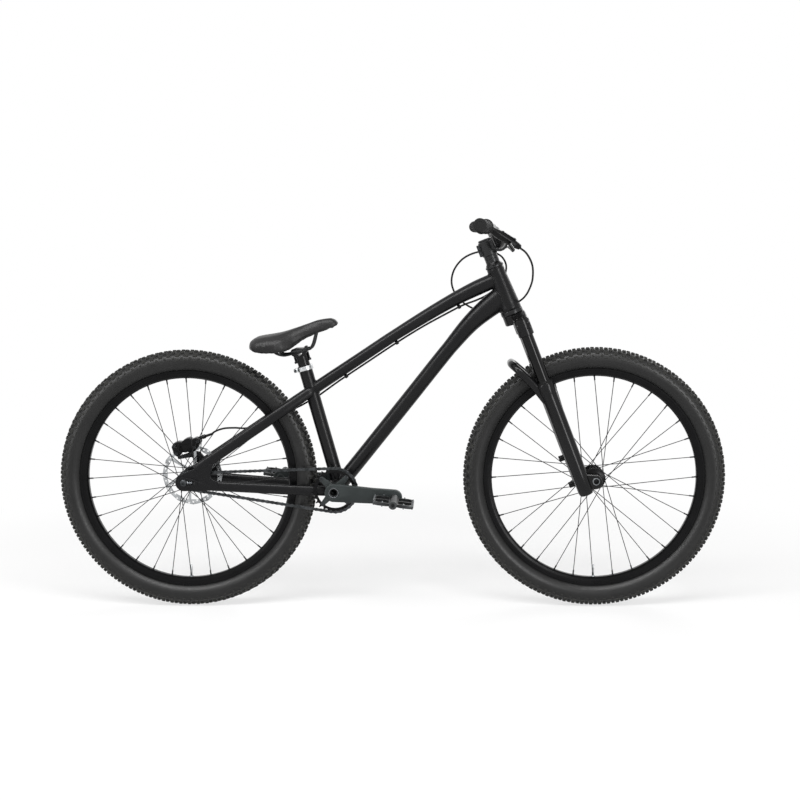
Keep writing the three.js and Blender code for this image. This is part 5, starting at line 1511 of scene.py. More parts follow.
@dataclass
class Drive:
    """Chain, chainring, cog, cranks, bottom bracket and pedals."""

    roller_radius: float = 3.9
    plate_high: float = 4.2
    plate_waist: float = 2.9
    inner_plates: tuple[float, float] = (1.75, 2.65)
    outer_plates: tuple[float, float] = (2.75, 3.65)
    pin_radius: float = 1.8
    arm_in: float = 72.0
    arm_out: float = 88.0
    arm_waist: float = 19.5
    hub_radius: float = 23.0
    end_radius: float = 19.5
    boss_in: float = 49.0
    boss_radius: float = 17.0
    hole_radius: float = 13.0
    hole_deep: float = 9.0
    through_radius: float = 9.3
    spindle_radius: float = 12.0
    spindle_end: float = 83.5
    spider_in: float = 46.4
    spider_out: float = 51.0
    spider_reach: float = 50.5
    spider_tip: float = 6.4
    spider_turn: float = 37.5
    cup_in: float = 36.8
    cup_out: float = 45.8
    cup_radius: float = 22.0
    cup_bore: float = 15.4

    @staticmethod
    def pitch_radius(teeth: int) -> float:
        """Radius of the circle that the roller centres lie on, in millimetres."""
        return PLAN.chain_pitch / (2 * math.sin(math.pi / teeth))

    def chain_path(self) -> list[Vector]:
        """Roller centres round the loop, from the chainring's top tangent, in millimetres."""
        axle, bracket = Vector(PLAN.rear_axle), Vector(PLAN.bracket)
        run = (axle - bracket).length
        ahead = (axle - bracket).normalized()
        lift = Vector((ahead.z, 0, -ahead.x))
        big, small = self.pitch_radius(PLAN.ring_teeth), self.pitch_radius(PLAN.cog_teeth)
        lean = math.asin((big - small) / run)
        span = run * math.cos(lean) / PLAN.chain_pitch
        on_ring = (math.pi + 2 * lean) / TAU * PLAN.ring_teeth
        on_cog = (math.pi - 2 * lean) / TAU * PLAN.cog_teeth
        top = math.pi / 2 - lean

        def on_circle(centre: Vector, radius: float, angle: float) -> Vector:
            """Place on a sprocket's pitch circle."""
            return centre + (ahead * math.cos(angle) + lift * math.sin(angle)) * radius

        places = []
        for link in range(PLAN.chain_links):
            rest = link * (on_ring + on_cog + 2 * span) / PLAN.chain_links
            low_run, past_cog = rest - on_ring, rest - on_ring - span
            if low_run < 0:
                place = on_circle(bracket, big, top + rest / PLAN.ring_teeth * TAU)
            elif past_cog < 0:
                place = on_circle(bracket, big, -top).lerp(on_circle(axle, small, -top), low_run / span)
            elif past_cog < on_cog:
                place = on_circle(axle, small, -top + past_cog / PLAN.cog_teeth * TAU)
            else:
                share = (past_cog - on_cog) / span
                place = on_circle(axle, small, top).lerp(on_circle(bracket, big, top), share)
            places.append(place)
        return places

    def link(self, name: str, plates: tuple[float, float], bar: Outline, steps: int) -> Object:
        """Assemble one link from its two waisted plates and its two rollers or pins.

        Args:
            name: The link's name.
            plates: Places of a plate's two faces from the chain's middle.
            bar: Profile of the rollers or pins, a pitch apart along X.
            steps: Steps round them.

        Returns:
            The link.
        """
        low, high = plates
        near = arc(0, 0, self.plate_high, 115, 245, 6)
        far = [(PLAN.chain_pitch - x, -y) for x, y in near]
        outline = [*near, (PLAN.chain_pitch / 2, -self.plate_waist), *far,
                   (PLAN.chain_pitch / 2, self.plate_waist)]
        parts = [Shop.bevel(Shop.plate("link_plate", outline, *faces), 0.3, 1, 50)
                 for faces in ((low, high), (-high, -low))]
        parts += [Shop.move(Shop.turned("bar", bar, steps), shift(x)) for x in (0.0, PLAN.chain_pitch)]
        return Shop.join(name, parts)

    def chain(self) -> Object:
        """Assemble the chain from its inner and outer links."""
        spots = self.chain_path()
        half, end = self.inner_plates[0], self.outer_plates[1] + 0.05
        patterns = (self.link("inner_link", self.inner_plates, drum(self.roller_radius, -half, half), 14),
                    self.link("outer_link", self.outer_plates, drum(self.pin_radius, -end, end, 0.3), 10))
        places: tuple[list[Matrix], list[Matrix]] = ([], [])
        for i, spot in enumerate(spots):
            step = spots[(i + 1) % len(spots)] - spot
            lean = Matrix.Rotation(-math.atan2(step.z, step.x), 4, "Y")
            places[i % 2].append(shift(spot.x, -PLAN.chain_line, spot.z) @ lean @ UPRIGHT)
        return Shop.join("chain_links", [Shop.copies(f"links_{i}", patterns[i], places[i]) for i in (0, 1)])

    def arm(self, side: int) -> Object:
        """Forge one crank arm along X with its boss, hole and rounded edges.

        Args:
            side: -1 for the right, 1 for the left.

        Returns:
            The arm, drawn for the right.
        """
        reach, waist, low, high = PLAN.crank_length, self.arm_waist, self.arm_in, self.arm_out
        outline = [*arc(0, 0, self.hub_radius, 84, 276, 24), (0.62 * reach, -waist),
                   *arc(reach, 0, self.end_radius, -88, 88, 20), (0.62 * reach, waist)]
        arm = Shop.bevel(Shop.plate("arm", outline, low, high), 2.6, 3, 60)
        hole, floor = self.hole_radius, high - self.hole_deep
        shapes = ([(0, floor), (hole, floor), (hole, high - 1.2), (hole + 1.6, high + 1), (0, high + 1)],
                  drum(self.through_radius, low - 2, high))
        for shape in shapes:
            arm = Shop.carve(arm, Shop.turned("hole", shape, 40))
        pocket = Shop.plate("pocket", [(0.26 * reach, -8.5), (0.62 * reach, -7.5), (0.66 * reach, 0),
                                       (0.62 * reach, 7.5), (0.26 * reach, 8.5), (0.23 * reach, 0)],
                            low - 2, low + 6)
        arm = Shop.carve(arm, pocket)
        bore, boss = self.spindle_radius + 0.4, self.boss_radius
        sleeve = Shop.turned("boss", [(bore, self.boss_in), (boss - 1, self.boss_in),
                                      (boss, self.boss_in + 1), (boss, low + 2), (bore, low + 2)], 40)
        eye = Shop.turned("pedal_eye", [(7, low - 0.6), (11, low - 0.6), (11.6, low + 0.4),
                                        (7, low + 0.4)], 32)
        parts = [arm, sleeve, Shop.move(eye, shift(reach))]
        if side < 0:
            parts.append(self.spider())
        return Shop.move(Shop.join("arm", parts), UPRIGHT)

    def spider_places(self, reach: float = 0.0, high: float = 0.0) -> list[Matrix]:
        """Matrices of the spider's four arms, a reach out and a height up."""
        return [turn(-self.spider_turn - 90 * i, "Z") @ shift(reach, 0, high) for i in range(4)]

    def spider(self) -> Object:
        """Make the four arms that carry the chainring."""
        reach, tip = self.spider_reach, self.spider_tip
        outline = [(6, -11), (reach - 8, -6.2), *arc(reach - tip, 0, tip, -80, 80, 10), (reach - 8, 6.2),
                   (6, 11)]
        leg = Shop.bevel(Shop.plate("spider_arm", outline, self.spider_in, self.spider_out), 0.8, 2, 50)
        return Shop.copies("spider", leg, self.spider_places())

    def ring_bolts(self) -> Object:
        """Set four chainring bolts in the spider's ends."""
        bolt = Shop.bolt("ring_bolt", 4.4, 1.4, 2.6)
        places = self.spider_places(self.spider_reach - 4.6, self.spider_out)
        return Shop.move(Shop.copies("chainring_bolts", bolt, places), UPRIGHT)

    def lock_ring(self) -> Object:
        """Turn the notched preload ring that is seen inside the arm's hole."""
        face, bore = self.arm_out - 2.0, 11.2
        ring = Shop.turned("preload_ring", [(bore, face - 4), (bore, face - 0.6), (11.8, face), (12.4, face),
                                            (12.9, face - 0.6), (12.9, face - 4)], 48)
        for i in range(8):
            notch = Shop.block("notch", (2.2, 1.8, 4), (bore, 0, face), 0)
            ring = Shop.carve(ring, Shop.move(notch, turn(45 * i, "Z")))
        return Shop.move(ring, UPRIGHT)

    def cup(self) -> Object:
        """Turn one bottom bracket cup and mill its sixteen wrench slots."""
        low, high, radius, bore = self.cup_in, self.cup_out, self.cup_radius, self.cup_bore
        cup = Shop.turned("cup", [(bore, low), (radius - 0.6, low), (radius, low + 0.6), (radius, high - 2.2),
                                  (radius - 1.6, high - 0.4), (bore + 2, high), (bore, high)], 64)
        for i in range(16):
            slot = Shop.block("slot", (3.0, 3.2, 5.2), (radius + 0.6, 0, high - 4.4), 0)
            cup = Shop.carve(cup, Shop.move(slot, turn(22.5 * i, "Z")))
        return Shop.move(cup, UPRIGHT)

    def build(self) -> None:
        """Build and dress the drive."""
        hand_over(self.chain(), "frame", Finishes.dark_steel, "chain", angle=35)
        for node, body, finish, edge in (("chainring", "crank", Finishes.anodised, 0.45),
                                         ("cog", "driver", Finishes.steel, 0.4)):
            hand_over(Shop.twin(node, f"toothed_{node}", edge, 3.0), body, finish, node, angle=30)
        for name, side in SIDES:
            other = Matrix.Identity(4) if side < 0 else MIRROR
            place = PLAN.crank() @ (other if side < 0 else turn(180, "Y") @ other)
            hand_over(Shop.named(self.arm(side), f"{name}_crank_arm"), "crank", Finishes.crank_coat,
                      f"{name}_crank", place=place, angle=38)
            hand_over(Shop.named(self.lock_ring(), f"{name}_preload_ring"), "crank", Finishes.stainless,
                      place=place, angle=35)
            hand_over(Shop.named(self.cup(), f"{name}_bracket_cup"), "frame", Finishes.anodised,
                      f"{name}_bottom_cup", place=PLAN.drive() @ other, angle=30)
        hand_over(self.ring_bolts(), "crank", Finishes.screw, place=PLAN.crank(), angle=35)
        end = self.spindle_end
        spindle = Shop.turned("hollow_spindle", drum(self.spindle_radius, -end, end, 0.6, 9.4), 48)
        hand_over(spindle, "crank", Finishes.anodised, "crank_spindle", place=PLAN.crank() @ UPRIGHT,
                  angle=35)
        for name, side in SIDES:
            Pedal(name, side).build()


@dataclass
class Pedal:
    """Platform pedal on its axle, drawn for the right."""

    name: str
    side: int
    half: float = 51.0
    inner: float = 98.0
    outer: float = 189.0
    high: float = 4.2
    bar: float = 6.0
    corner: float = 14.0
    near: float = 11.5
    scoop_radius: float = 150.0
    scoop_deep: float = 1.2
    barrel: float = 10.5
    pin_radius: float = 1.6
    pin_high: float = 4.4

    def place(self) -> Matrix:
        """Matrix of the pedal at rest."""
        spot = PLAN.crank() @ Vector((-self.side * PLAN.crank_length * MM, 0, 0))
        flip = MIRROR if self.side > 0 else Matrix.Identity(4)
        return Matrix.Translation(spot) @ turn(PLAN.pedal_tilt, "Y") @ flip

    def cage(self) -> Object:
        """Cut the cage with its four windows, scooped faces and rounded edges."""
        half, inner, outer, corner, bar = self.half, self.inner, self.outer, self.corner, self.bar
        corners = ((half, -inner - corner), (half - 1.5, -inner - 0.3 * corner), (half - corner, -inner))
        ends = ((corner - half, -outer), (1.5 - half, -outer + 0.3 * corner), (-half, -outer + corner))
        outline = [*mirrored(corners, 0), *mirrored(ends[::-1], 0)]
        cage = Shop.plate("cage", outline, -self.high, self.high)
        slant, middle = 0.6 * corner, (inner + outer) / 2
        near, far = self.near, half - bar
        # A window's far corner is cut off at the cage's own corner only
        windows = [(inner + bar, middle - bar / 2, slant, 0), (middle + bar / 2, outer - bar, 0, slant)]
        for hand in (-1, 1):
            for low, top, first, last in windows:
                window = [(near, -low), (far - first, -low), (far, -low - first), (far, -top + last),
                          (far - last, -top), (near, -top)]
                window = [(hand * x, y) for x, y in window]
                cage = Shop.carve(cage, Shop.plate("window", window, -2 * self.high, 2 * self.high))
        for hand in (-1, 1):
            scoop = Shop.turned("scoop", drum(self.scoop_radius, -outer - 5, 5 - inner), 96)
            rise = hand * (self.scoop_radius + self.high - self.scoop_deep)
            cage = Shop.carve(cage, Shop.move(scoop, shift(z=rise) @ AXLE))
        return Shop.bevel(cage, 0.9, 2, 38)

    def barrel_piece(self) -> Object:
        """Turn the axle barrel with its end cap and its ribs."""
        low, high, r = self.inner - 0.5, self.outer + 0.2, self.barrel
        profile = [(7, -low), (r - 1, -low), (r, -low - 1), (r, -low - 12), (r - 1.5, -low - 15),
                   (r - 1.5, -high + 16), (r, -high + 13), (r, -high + 1), (r - 1, -high), (4.4, -high),
                   (4.0, -high + 2), (0, -high + 2)]
        rib = Shop.block("rib", (1.3, high - low - 34, 1.6), (0, -(low + high) / 2, r - 1), 0.4)
        places = [turn(flip + 17 * i, "Y") for i in range(-2, 3) for flip in (0, 180)]
        return Shop.join("barrel", [Shop.move(Shop.turned("barrel", profile, 40, meets=False), AXLE),
                                    Shop.copies("ribs", rib, places)])

    def pins(self) -> Object:
        """Screw ten grip pins into each face."""
        radius, top = self.pin_radius, self.pin_high
        pin = Shop.turned("pin", [(0, 0), (radius, 0), (radius, top - 0.4), (radius - 0.4, top), (0.8, top),
                                  (0.7, top - 1), (0, top - 1)], 12)
        edge = self.bar / 2
        spots = [(x, y) for x in (-self.half + edge, self.half - edge)
                 for y in (-self.inner - 20, -(self.inner + self.outer) / 2, -self.outer + 20)]
        spots += [(share * self.half, y) for y in (-self.inner - edge, -self.outer + edge)
                  for share in (-0.52, 0.52)]
        places = []
        for x, y in spots:
            rise = self.high - self.scoop_deep * (1 - (abs(x) / self.half) ** 2) - 0.4
            places += [shift(x, y, -rise) @ turn(180, "X"), shift(x, y, rise)]
        return Shop.copies(f"{self.name}_pedal_pins", pin, places)

    def axle_piece(self) -> Object:
        """Turn the pedal axle with its wrench collar."""
        profile = [(0, -72.4), (6.2, -72.4), (6.5, -73), (6.5, -88.3), (8.4, -88.3), (9, -88.9), (9, -96.4),
                   (8.4, -97.4), (6.5, -97.5), (6.5, -183), (0, -183)]
        return Shop.move(Shop.turned(f"{self.name}_pedal_axle_turned", profile, 32), AXLE)

    def build(self) -> None:
        """Build and dress the pedal."""
        place, body = self.place(), f"{self.name}_pedal"
        cage = Shop.join(f"{self.name}_pedal_cage", [self.cage(), self.barrel_piece()])
        hand_over(cage, body, Finishes.pedal, body, place=place)
        hand_over(self.pins(), body, Finishes.stainless, place=place)
        hand_over(self.axle_piece(), "crank", Finishes.steel, f"{self.name}_pedal_axle", place=place,
                  angle=35)


# Fork and headset


@dataclass
class Fork:
    """Suspension fork and headset, drawn in the steering frame."""

    spread: float = 65.0
    ahead: float = 12.5
    axle_ahead: float = 46.0
    tube: float = 16.0
    tube_foot: float = 150.0
    socket: Triple = (20.0, 409.0, 452.0)
    socket_bore: float = 16.3
    crown_low: float = 443.0
    crown_top: float = 468.0
    crown_depth: float = 19.0
    crown_seat: float = 18.4
    boss_radius: float = 27.0
    boss_bore: float = 19.8
    leg: float = 20.5
    leg_foot: float = -24.0
    seal: float = 280.0
    seal_bore: float = 16.1
    arch_radius: float = 9.6
    arch_back: float = -48.0
    arch_top: float = 351.0
    lug: Triple = (16.0, 55.0, 72.0)
    tab_heights: tuple[float, float] = (64.0, -10.2)
    axle_radius: float = 10.0
    ring_bore: float = 14.6

    def leg_place(self, side: int) -> Matrix:
        """Matrix at the middle of one leg."""
        return shift(self.ahead, side * self.spread)

    def crown(self) -> Object:
        """Shape the forged crown with its sockets and steerer boss."""
        reach, low, top = self.spread, self.crown_low, self.crown_top
        (radius, foot, face), bore = self.socket, self.socket_bore
        wide, boss, hollow = reach + radius, self.boss_radius, self.boss_bore
        half = [(0.3 * reach, low), (0.6 * reach, low - 4), (reach - 4, foot + 14), (wide, foot + 14),
                (wide - 4, face - 10), (boss, top)]
        bar = Shop.plate("crown", mirrored(half, 0), self.ahead - self.crown_depth,
                         self.ahead + self.crown_depth)
        bar = Shop.bevel(Shop.move(bar, FACING), 4.5, 4, 25)
        parts = []
        for _, side in SIDES:
            seat = Shop.turned("seat", drum(self.crown_seat, face, top + 9), 40)
            bar = Shop.carve(bar, Shop.move(seat, self.leg_place(side)))
            socket = Shop.turned("socket", [(bore, foot), (radius - 1.2, foot), (radius, foot + 1.2),
                                            (radius, face - 1.5), (radius - 1.5, face), (bore, face)], 48)
            parts.append(Shop.move(socket, self.leg_place(side)))
        parts.append(Shop.turned("boss", [(hollow, low), (boss - 2, low), (boss, low + 2), (boss, top - 1),
                                          (boss - 1, top), (hollow, top)], 56))
        return Shop.join("forged_crown", [bar, *parts])

    def stanchion(self, name: str, side: int) -> Object:
        """Turn one inner tube with its top cap and fluted adjuster knob.

        Args:
            name: The side's name.
            side: -1 for the right, 1 for the left.

        Returns:
            The tube.
        """
        tube, top = self.tube, self.socket[2] + 0.3
        body = Shop.turned(f"{name}_inner_tube", [
            (0, self.tube_foot), (tube - 1, self.tube_foot), (tube, self.tube_foot + 1), (tube, top),
            (17.4, top), (18, top + 0.6), (18, top + 2), (17.2, top + 2.8), (10, top + 2.8),
            (9.4, top + 2.2), (8.2, top + 2.2), (8.2, top + 4.4), (7.4, top + 4.9), (3.2, top + 4.9),
            (2.8, top + 3.6), (0, top + 3.6)], 56)
        flute = Shop.block("flute", (2.4, 1.5, 3), (8.6, 0, top + 4.6), 0)
        flutes = Shop.copies("flutes", flute, [turn(360 * i / 14, "Z") for i in range(14)])
        return Shop.move(Shop.carve(body, flutes), self.leg_place(side))

    def legs(self) -> list[Object]:
        """Cast both legs with their axle lugs, the arch behind them and the two brake tabs."""
        leg, foot, seal = self.leg, self.leg_foot, self.seal
        profile = [(0, foot + 3), (5.5, foot + 3), (6, foot), (0.66 * leg, foot), (0.8 * leg, foot + 1.4),
                   (0.93 * leg, foot + 9), (0.95 * leg, 0.12 * seal), (leg, 0.32 * seal), (leg, 0.86 * seal),
                   (1.03 * leg, 0.905 * seal), (1.08 * leg, 0.925 * seal), (1.08 * leg, seal - 1.5),
                   (1.04 * leg, seal), (16.8, seal), (16.8, 46), (0, 46)]
        radius, low, high = self.lug
        outline = [(self.ahead, -1.1 * radius), *arc(self.axle_ahead, 0, radius, -100, 80, 20),
                   (self.ahead + 9, 1.75 * radius), (self.ahead, 2.3 * radius)]
        bore = self.axle_radius + 0.2
        parts = []
        for _, side in SIDES:
            tube = Shop.move(Shop.turned("leg", profile, 56), self.leg_place(side))
            lug = Shop.bevel(Shop.plate("lug", outline, low, high), 2.2, 3, 40)
            hole = Shop.turned("bore", [(0, low - 5), (bore, low - 5), (bore, high - 1),
                                        (bore + 1.4, high + 2), (0, high + 2)], 40)
            lug = Shop.carve(lug, Shop.move(hole, shift(self.axle_ahead)))
            parts += [tube, Shop.move(lug, SIDEWAYS if side > 0 else MIRROR @ SIDEWAYS)]
        parts.append(self.arch())
        for height in self.tab_heights:
            tab = Shop.turned("tab", [(3.2, -20), (7.4, -20), (8, -19.4), (8, -4.4), (3.2, -4.4)], 32)
            parts.append(Shop.move(tab, shift(0, 60, height) @ AHEAD))
        return parts

    def arch(self) -> Object:
        """Bend the arch that joins the legs behind the tyre."""
        back, top, reach = self.arch_back, self.arch_top, self.spread
        half = [(self.ahead - 9, reach - 1, 0.84 * self.seal), (back / 3, reach - 3, 1.03 * self.seal),
                (0.8 * back, 0.82 * reach, 0.955 * top), (0.97 * back, 0.5 * reach, 0.995 * top),
                (back, 0, top)]
        line = spline([Vector(p) * MM for p in mirrored(half, 1, 1)], 8)
        swell = evenly([1.32, 1.12, 1, 1, 1, 1, 1, 1.12, 1.32], len(line))
        heights = [self.arch_radius * share for share in swell]
        return Shop.loft("arch", oval_rings(line, heights, [1.05 * h for h in heights], 28,
                                            Vector((0.8, 0, 0.6))))

    def headset(self) -> None:
        """Turn the cups, the tapered cover, the spacers and the top cap."""
        bore = self.ring_bore
        rings = (
            ("lower_cup", "frame", [(25.2, 468.3), (27.4, 468.3), (28.5, 469.4), (28.5, 476.9), (28, 478.7),
                                    (25.2, 478.7)]),
            ("upper_cup", "frame", [(20.8, 595.3), (22.6, 595.3), (23.5, 596), (23.5, 599.5), (22.8, 600.3),
                                    (20.8, 600.3)]),
            ("headset_cover", "steering", [(bore, 600.6), (20.2, 600.6), (21, 601.4), (20.6, 603),
                                           (18.2, 607.2), (17.5, 608.6), (bore, 608.6)]),
            ("spacer_1", "steering", drum(17.5, 608.9, 617.9, 0.5, bore)),
            ("spacer_2", "steering", drum(17.5, 618.2, 627.2, 0.5, bore)),
            ("top_cap", "steering", [(0, 665.8), (16.8, 665.8), (17.5, 666.5), (17.3, 669), (15.6, 670.8),
                                     (5.6, 670.8), (4.9, 669.2), (2.6, 669.2), (2.6, 667.6), (0, 667.6)]))
        for node, body, profile in rings:
            hand_over(Shop.turned(f"{node}_turned", profile, 64), body, Finishes.anodised, node,
                      place=PLAN.steering(), angle=30)

    def build(self) -> None:
        """Build and dress the fork and the headset."""
        steer, seal, bore = PLAN.steering(), self.seal, self.seal_bore
        hand_over(self.crown(), "steering", Finishes.fork_coat, "fork_crown", place=steer, angle=35)
        for name, side in SIDES:
            place = steer @ self.leg_place(side)
            hand_over(self.stanchion(name, side), "steering", Finishes.stanchion, f"{name}_stanchion",
                      place=steer, angle=35)
            wiper = Shop.turned(f"{name}_wiper_seal", [
                (bore, seal - 2), (20.8, seal - 2), (20.8, seal + 1.2), (19.8, seal + 2.2),
                (18.4, seal + 2.6), (17, seal + 6), (bore, seal + 6)], 56)
            hand_over(wiper, "fork_lowers", Finishes.rubber_trim, place=place)
            foot = Shop.bolt(f"{name}_foot_bolt", 5.2, 3.2, 2.6)
            hand_over(foot, "fork_lowers", Finishes.stainless,
                      place=place @ shift(z=self.leg_foot + 3) @ turn(180, "X"), angle=35)
        hand_over(Shop.join("cast_fork_lowers", self.legs()), "fork_lowers", Finishes.fork_coat,
                  "fork_lowers", place=steer, angle=38)
        end = self.lug[2]
        axle = Shop.turned("hollow_thru_axle", drum(self.axle_radius, -end, end, 0.8, 7.2), 48)
        hand_over(axle, "fork_lowers", Finishes.axle, "front_axle",
                  place=steer @ shift(self.axle_ahead) @ AXLE, angle=35)
        self.headset()


# Cockpit


@dataclass
class Cockpit:
    """Stem, bar, grips, brake master cylinder and lever, drawn in the steering frame."""

    stem_low: float = 627.5
    stem_top: float = 665.5
    stem_radius: float = 19.5
    stem_bore: float = 14.6
    bridge_bore: float = 17.0
    reach: float = 32.0
    clamp_height: float = 649.5
    clamp_radius: float = 22.0
    clamp_half: float = 22.0
    bolt_across: float = 16.5
    bolt_up: float = 15.4
    bar_radius: float = 15.9
    half: float = 372.0
    bend: tuple[float, float] = (38.0, 112.0)
    bend_back: float = -7.0
    rise: float = 41.0
    grip_rise: float = 59.0
    grip_back: float = -37.0
    end_radius: float = 11.1
    grip_inner: float = 245.0
    grip_radius: float = 15.5
    rib_pitch: float = 3.4
    lever_clamp: float = 232.0
    blade_length: float = 105.0
    master_tip: Triple = (68.16, -212.0, 624.48)
    # Sections of the master cylinder: share of its length, half height and half width
    master_sections: tuple[Triple, ...] = (
        (0.15, 8.6, 9.6), (0.24, 9.6, 11.6), (0.34, 11, 13), (0.5, 11, 13.2), (0.7, 10.4, 12.4),
        (0.86, 9.2, 10.6), (0.95, 7.6, 8.2), (1.0, 6.4, 6.8))
    pivot: Triple = (49.57, -228.0, 634.71)
    pivot_axis: Triple = (-0.8588, 0.0, -0.5123)

    def clamp(self) -> Vector:
        """Middle of the bar clamp, in millimetres."""
        return Vector((self.reach, 0, self.clamp_height))

    def bar_place(self, across: float) -> Vector:
        """Place on the bar's straight grip part, in millimetres."""
        share = (abs(across) - self.bend[1]) / (self.half - self.bend[1])
        return self.clamp() + Vector((self.bend_back + share * (self.grip_back - self.bend_back), across,
                                      self.rise + share * (self.grip_rise - self.rise)))

    def along_grip(self, side: int, across: float) -> Matrix:
        """Matrix whose Z runs out along the grip of one side."""
        axis = self.bar_place(side * self.half) - self.bar_place(side * self.bend[1])
        return shift(*self.bar_place(side * across)) @ aim(axis)

    def at_pivot(self) -> Matrix:
        """Matrix at the lever's pin, whose Z runs along it."""
        return shift(*self.pivot) @ aim(Vector(self.pivot_axis))

    def corners(self, ahead: float) -> list[Matrix]:
        """Matrices of the faceplate's four bolts, a step ahead of the bar, whose Z runs ahead."""
        return [shift(self.reach + ahead, y, self.clamp_height + z) @ AHEAD
                for y in (-self.bolt_across, self.bolt_across) for z in (-self.bolt_up, self.bolt_up)]

    def clamp_ring(self, name: str, keep: int) -> Object:
        """Cut one half of the bar clamp: 1 keeps the faceplate, -1 the stem's own half."""
        half = self.clamp_half
        profile = drum(self.clamp_radius, -half, half, 1.4, self.bar_radius + 0.5)
        ring = Shop.move(Shop.turned(name, profile, 56), AXLE)
        away = Shop.block("away", (60, 120, 120), (-29.0 if keep > 0 else 30.0, 0, 0), 0)
        return Shop.move(Shop.carve(ring, away), shift(*self.clamp()))

    def stem(self) -> Object:
        """Machine the stem: steerer clamp, bridge, ears and the rear half of the bar clamp."""
        low, top, radius, bore = self.stem_low, self.stem_top, self.stem_radius, self.stem_bore
        body = Shop.turned("stem", [(bore, low), (radius - 1.2, low), (radius, low + 1.2),
                                    (radius, top - 1.6), (radius - 1.6, top), (bore, top)], 56)
        bridge = Shop.block("bridge", (self.reach - 8, 2 * (self.clamp_half - 4), 1.5 * self.clamp_radius),
                            (self.reach / 2 + 3, 0, self.clamp_height), 4.5, 4)
        for tool, place in ((drum(self.bar_radius + 0.5, -60, 60), shift(*self.clamp()) @ AXLE),
                            (drum(self.bridge_bore, low - 9, top + 9), shift())):
            bridge = Shop.carve(bridge, Shop.move(Shop.turned("tool", tool, 48), place))
        ears = [Shop.block("ear", (15, 8, top - low - 7), (-18.0, side * 5.2, (low + top) / 2), 2.2, 3)
                for side in (-1, 1)]
        return Shop.join("machined_stem", [body, bridge, *ears, self.clamp_ring("clamp", -1)])

    def stem_bolts(self) -> Object:
        """Set the four faceplate bolts, the two pinch bolts and the top cap bolt."""
        places = self.corners(13.2)
        places += [shift(-20.5, -8.8, z) @ UPRIGHT for z in (self.stem_low + 11, self.stem_top - 11)]
        return Shop.copies("stem_bolts", Shop.bolt("stem_bolts", 3.9, 3.0, 2.1), [*places, shift(z=668.2)])

    def faceplate(self) -> Object:
        """Join the clamp's front half with the four bolt lugs at its corners."""
        plate = self.clamp_ring("faceplate", 1)
        lug = Shop.turned("lug", [(0, 0), (4.8, 0), (4.8, 11.2), (4.3, 12.2), (0, 12.2)], 28)
        return Shop.join("machined_faceplate", [plate, Shop.copies("lugs", lug, self.corners(1.0))])

    def bar(self) -> Object:
        """Bend the butted riser bar."""
        start, end = self.bend
        half = [(0, 0, 0), (0, start, 0), (-1, start + 18, 4),
                (0.6 * self.bend_back, end - 18, 0.83 * self.rise), (self.bend_back, end, self.rise)]
        left = [self.clamp() + Vector(p) for p in half]
        left += [self.bar_place(share * self.half) for share in (0.5, 0.75, 1.0)]
        right = [MIRROR @ p for p in reversed(left[1:])]
        line = spline([p * MM for p in (*right, *left)], 8)
        thick, thin = self.bar_radius, self.end_radius
        swell = [thin, thin, thin, thin, (thick + thin) / 2, thick, thick]
        radii = evenly([*swell, thick, *swell[::-1]], len(line))
        return Shop.loft("butted_riser_bar", oval_rings(line, radii, radii, 32, Vector((1, 0, 0))))

    def grip(self, name: str) -> Object:
        """Mould one flanged grip with its ribs and its closed end."""
        axis = (self.bar_place(self.half) - self.bar_place(self.bend[1])).normalized()
        end = (self.half - self.grip_inner) / axis.y + 0.3
        radius, inner = self.grip_radius, self.end_radius + 0.5
        profile = [(0, end), (inner, end), (inner, 0), (16.8, 0), (18, 1), (18, 3), (17, 4),
                   (radius - 1.6, 4.6), (radius - 1.6, 7)]
        ribs = int((end - 18) / self.rib_pitch)
        for i in range(ribs):
            foot = 7.5 + i * self.rib_pitch
            waist = radius - 0.5 * math.sin(math.pi * i / ribs)
            profile += [(waist - 1.3, foot), (waist, foot + 0.5), (waist, foot + 1.7),
                        (waist - 1.3, foot + 2.2)]
        last = end + 3
        profile += [(radius - 1.4, last - 7), (radius, last - 6), (radius, last - 1.6), (radius - 1.6, last),
                    (8.6, last), (8.0, last - 0.7), (0, last - 0.7)]
        return Shop.turned(name, profile, 44)

    def master(self) -> Object:
        """Shape the clamp, the cylinder body with its reservoir lid and the pivot ears."""
        clamp = Shop.turned("clamp", [(11.7, -8), (14.6, -8), (15.5, -7), (15.5, 7), (14.6, 8),
                                      (11.7, 8)], 44)
        Shop.move(clamp, self.along_grip(-1, self.lever_clamp))
        base, tip = self.bar_place(-self.lever_clamp), Vector(self.master_tip)
        line = spline([base.lerp(tip, share) * MM for share, _, _ in self.master_sections], 4)
        heights, widths = (evenly([s[k] for s in self.master_sections], len(line)) for k in (1, 2))
        body = Shop.loft("body", oval_rings(line, heights, widths, 32))
        run = (tip - base).normalized()
        up = Vector((0, 1, 0)).cross(run)
        up = up if up.z > 0 else -up
        place = shift(*base.lerp(tip, 0.6)) @ Matrix((run, Vector((0, 1, 0)), up)).transposed().to_4x4()
        lid = Shop.move(Shop.block("lid", (42, 17, 3.2), (0, 0, 10.2), 1.4, 3), place)
        screws = Shop.copies("screws", Shop.bolt("screw", 2.3, 1.2, 1.1),
                             [place @ shift(x, 0, 11.8) for x in (-16.5, 16.5)])
        nut = Shop.turned("hose_nut", [(0, -6), (4.6, -6), (5, -5.4), (5, -0.4), (4.4, 0), (3.2, 0.2),
                                       (2.7, 1.5), (0, 1.5)], 24)
        Shop.move(nut, shift(*(tip + run)) @ run.to_track_quat("Z", "Y").to_matrix().to_4x4())
        ear = Shop.turned("ear", [(0, 5.4), (6.6, 5.4), (7.2, 6), (7.2, 8), (6.6, 8.6), (2.6, 8.6),
                                  (2.6, 7.8), (0, 7.8)], 28)
        ears = Shop.copies("ears", ear, [self.at_pivot() @ turn(180, "X"), self.at_pivot()])
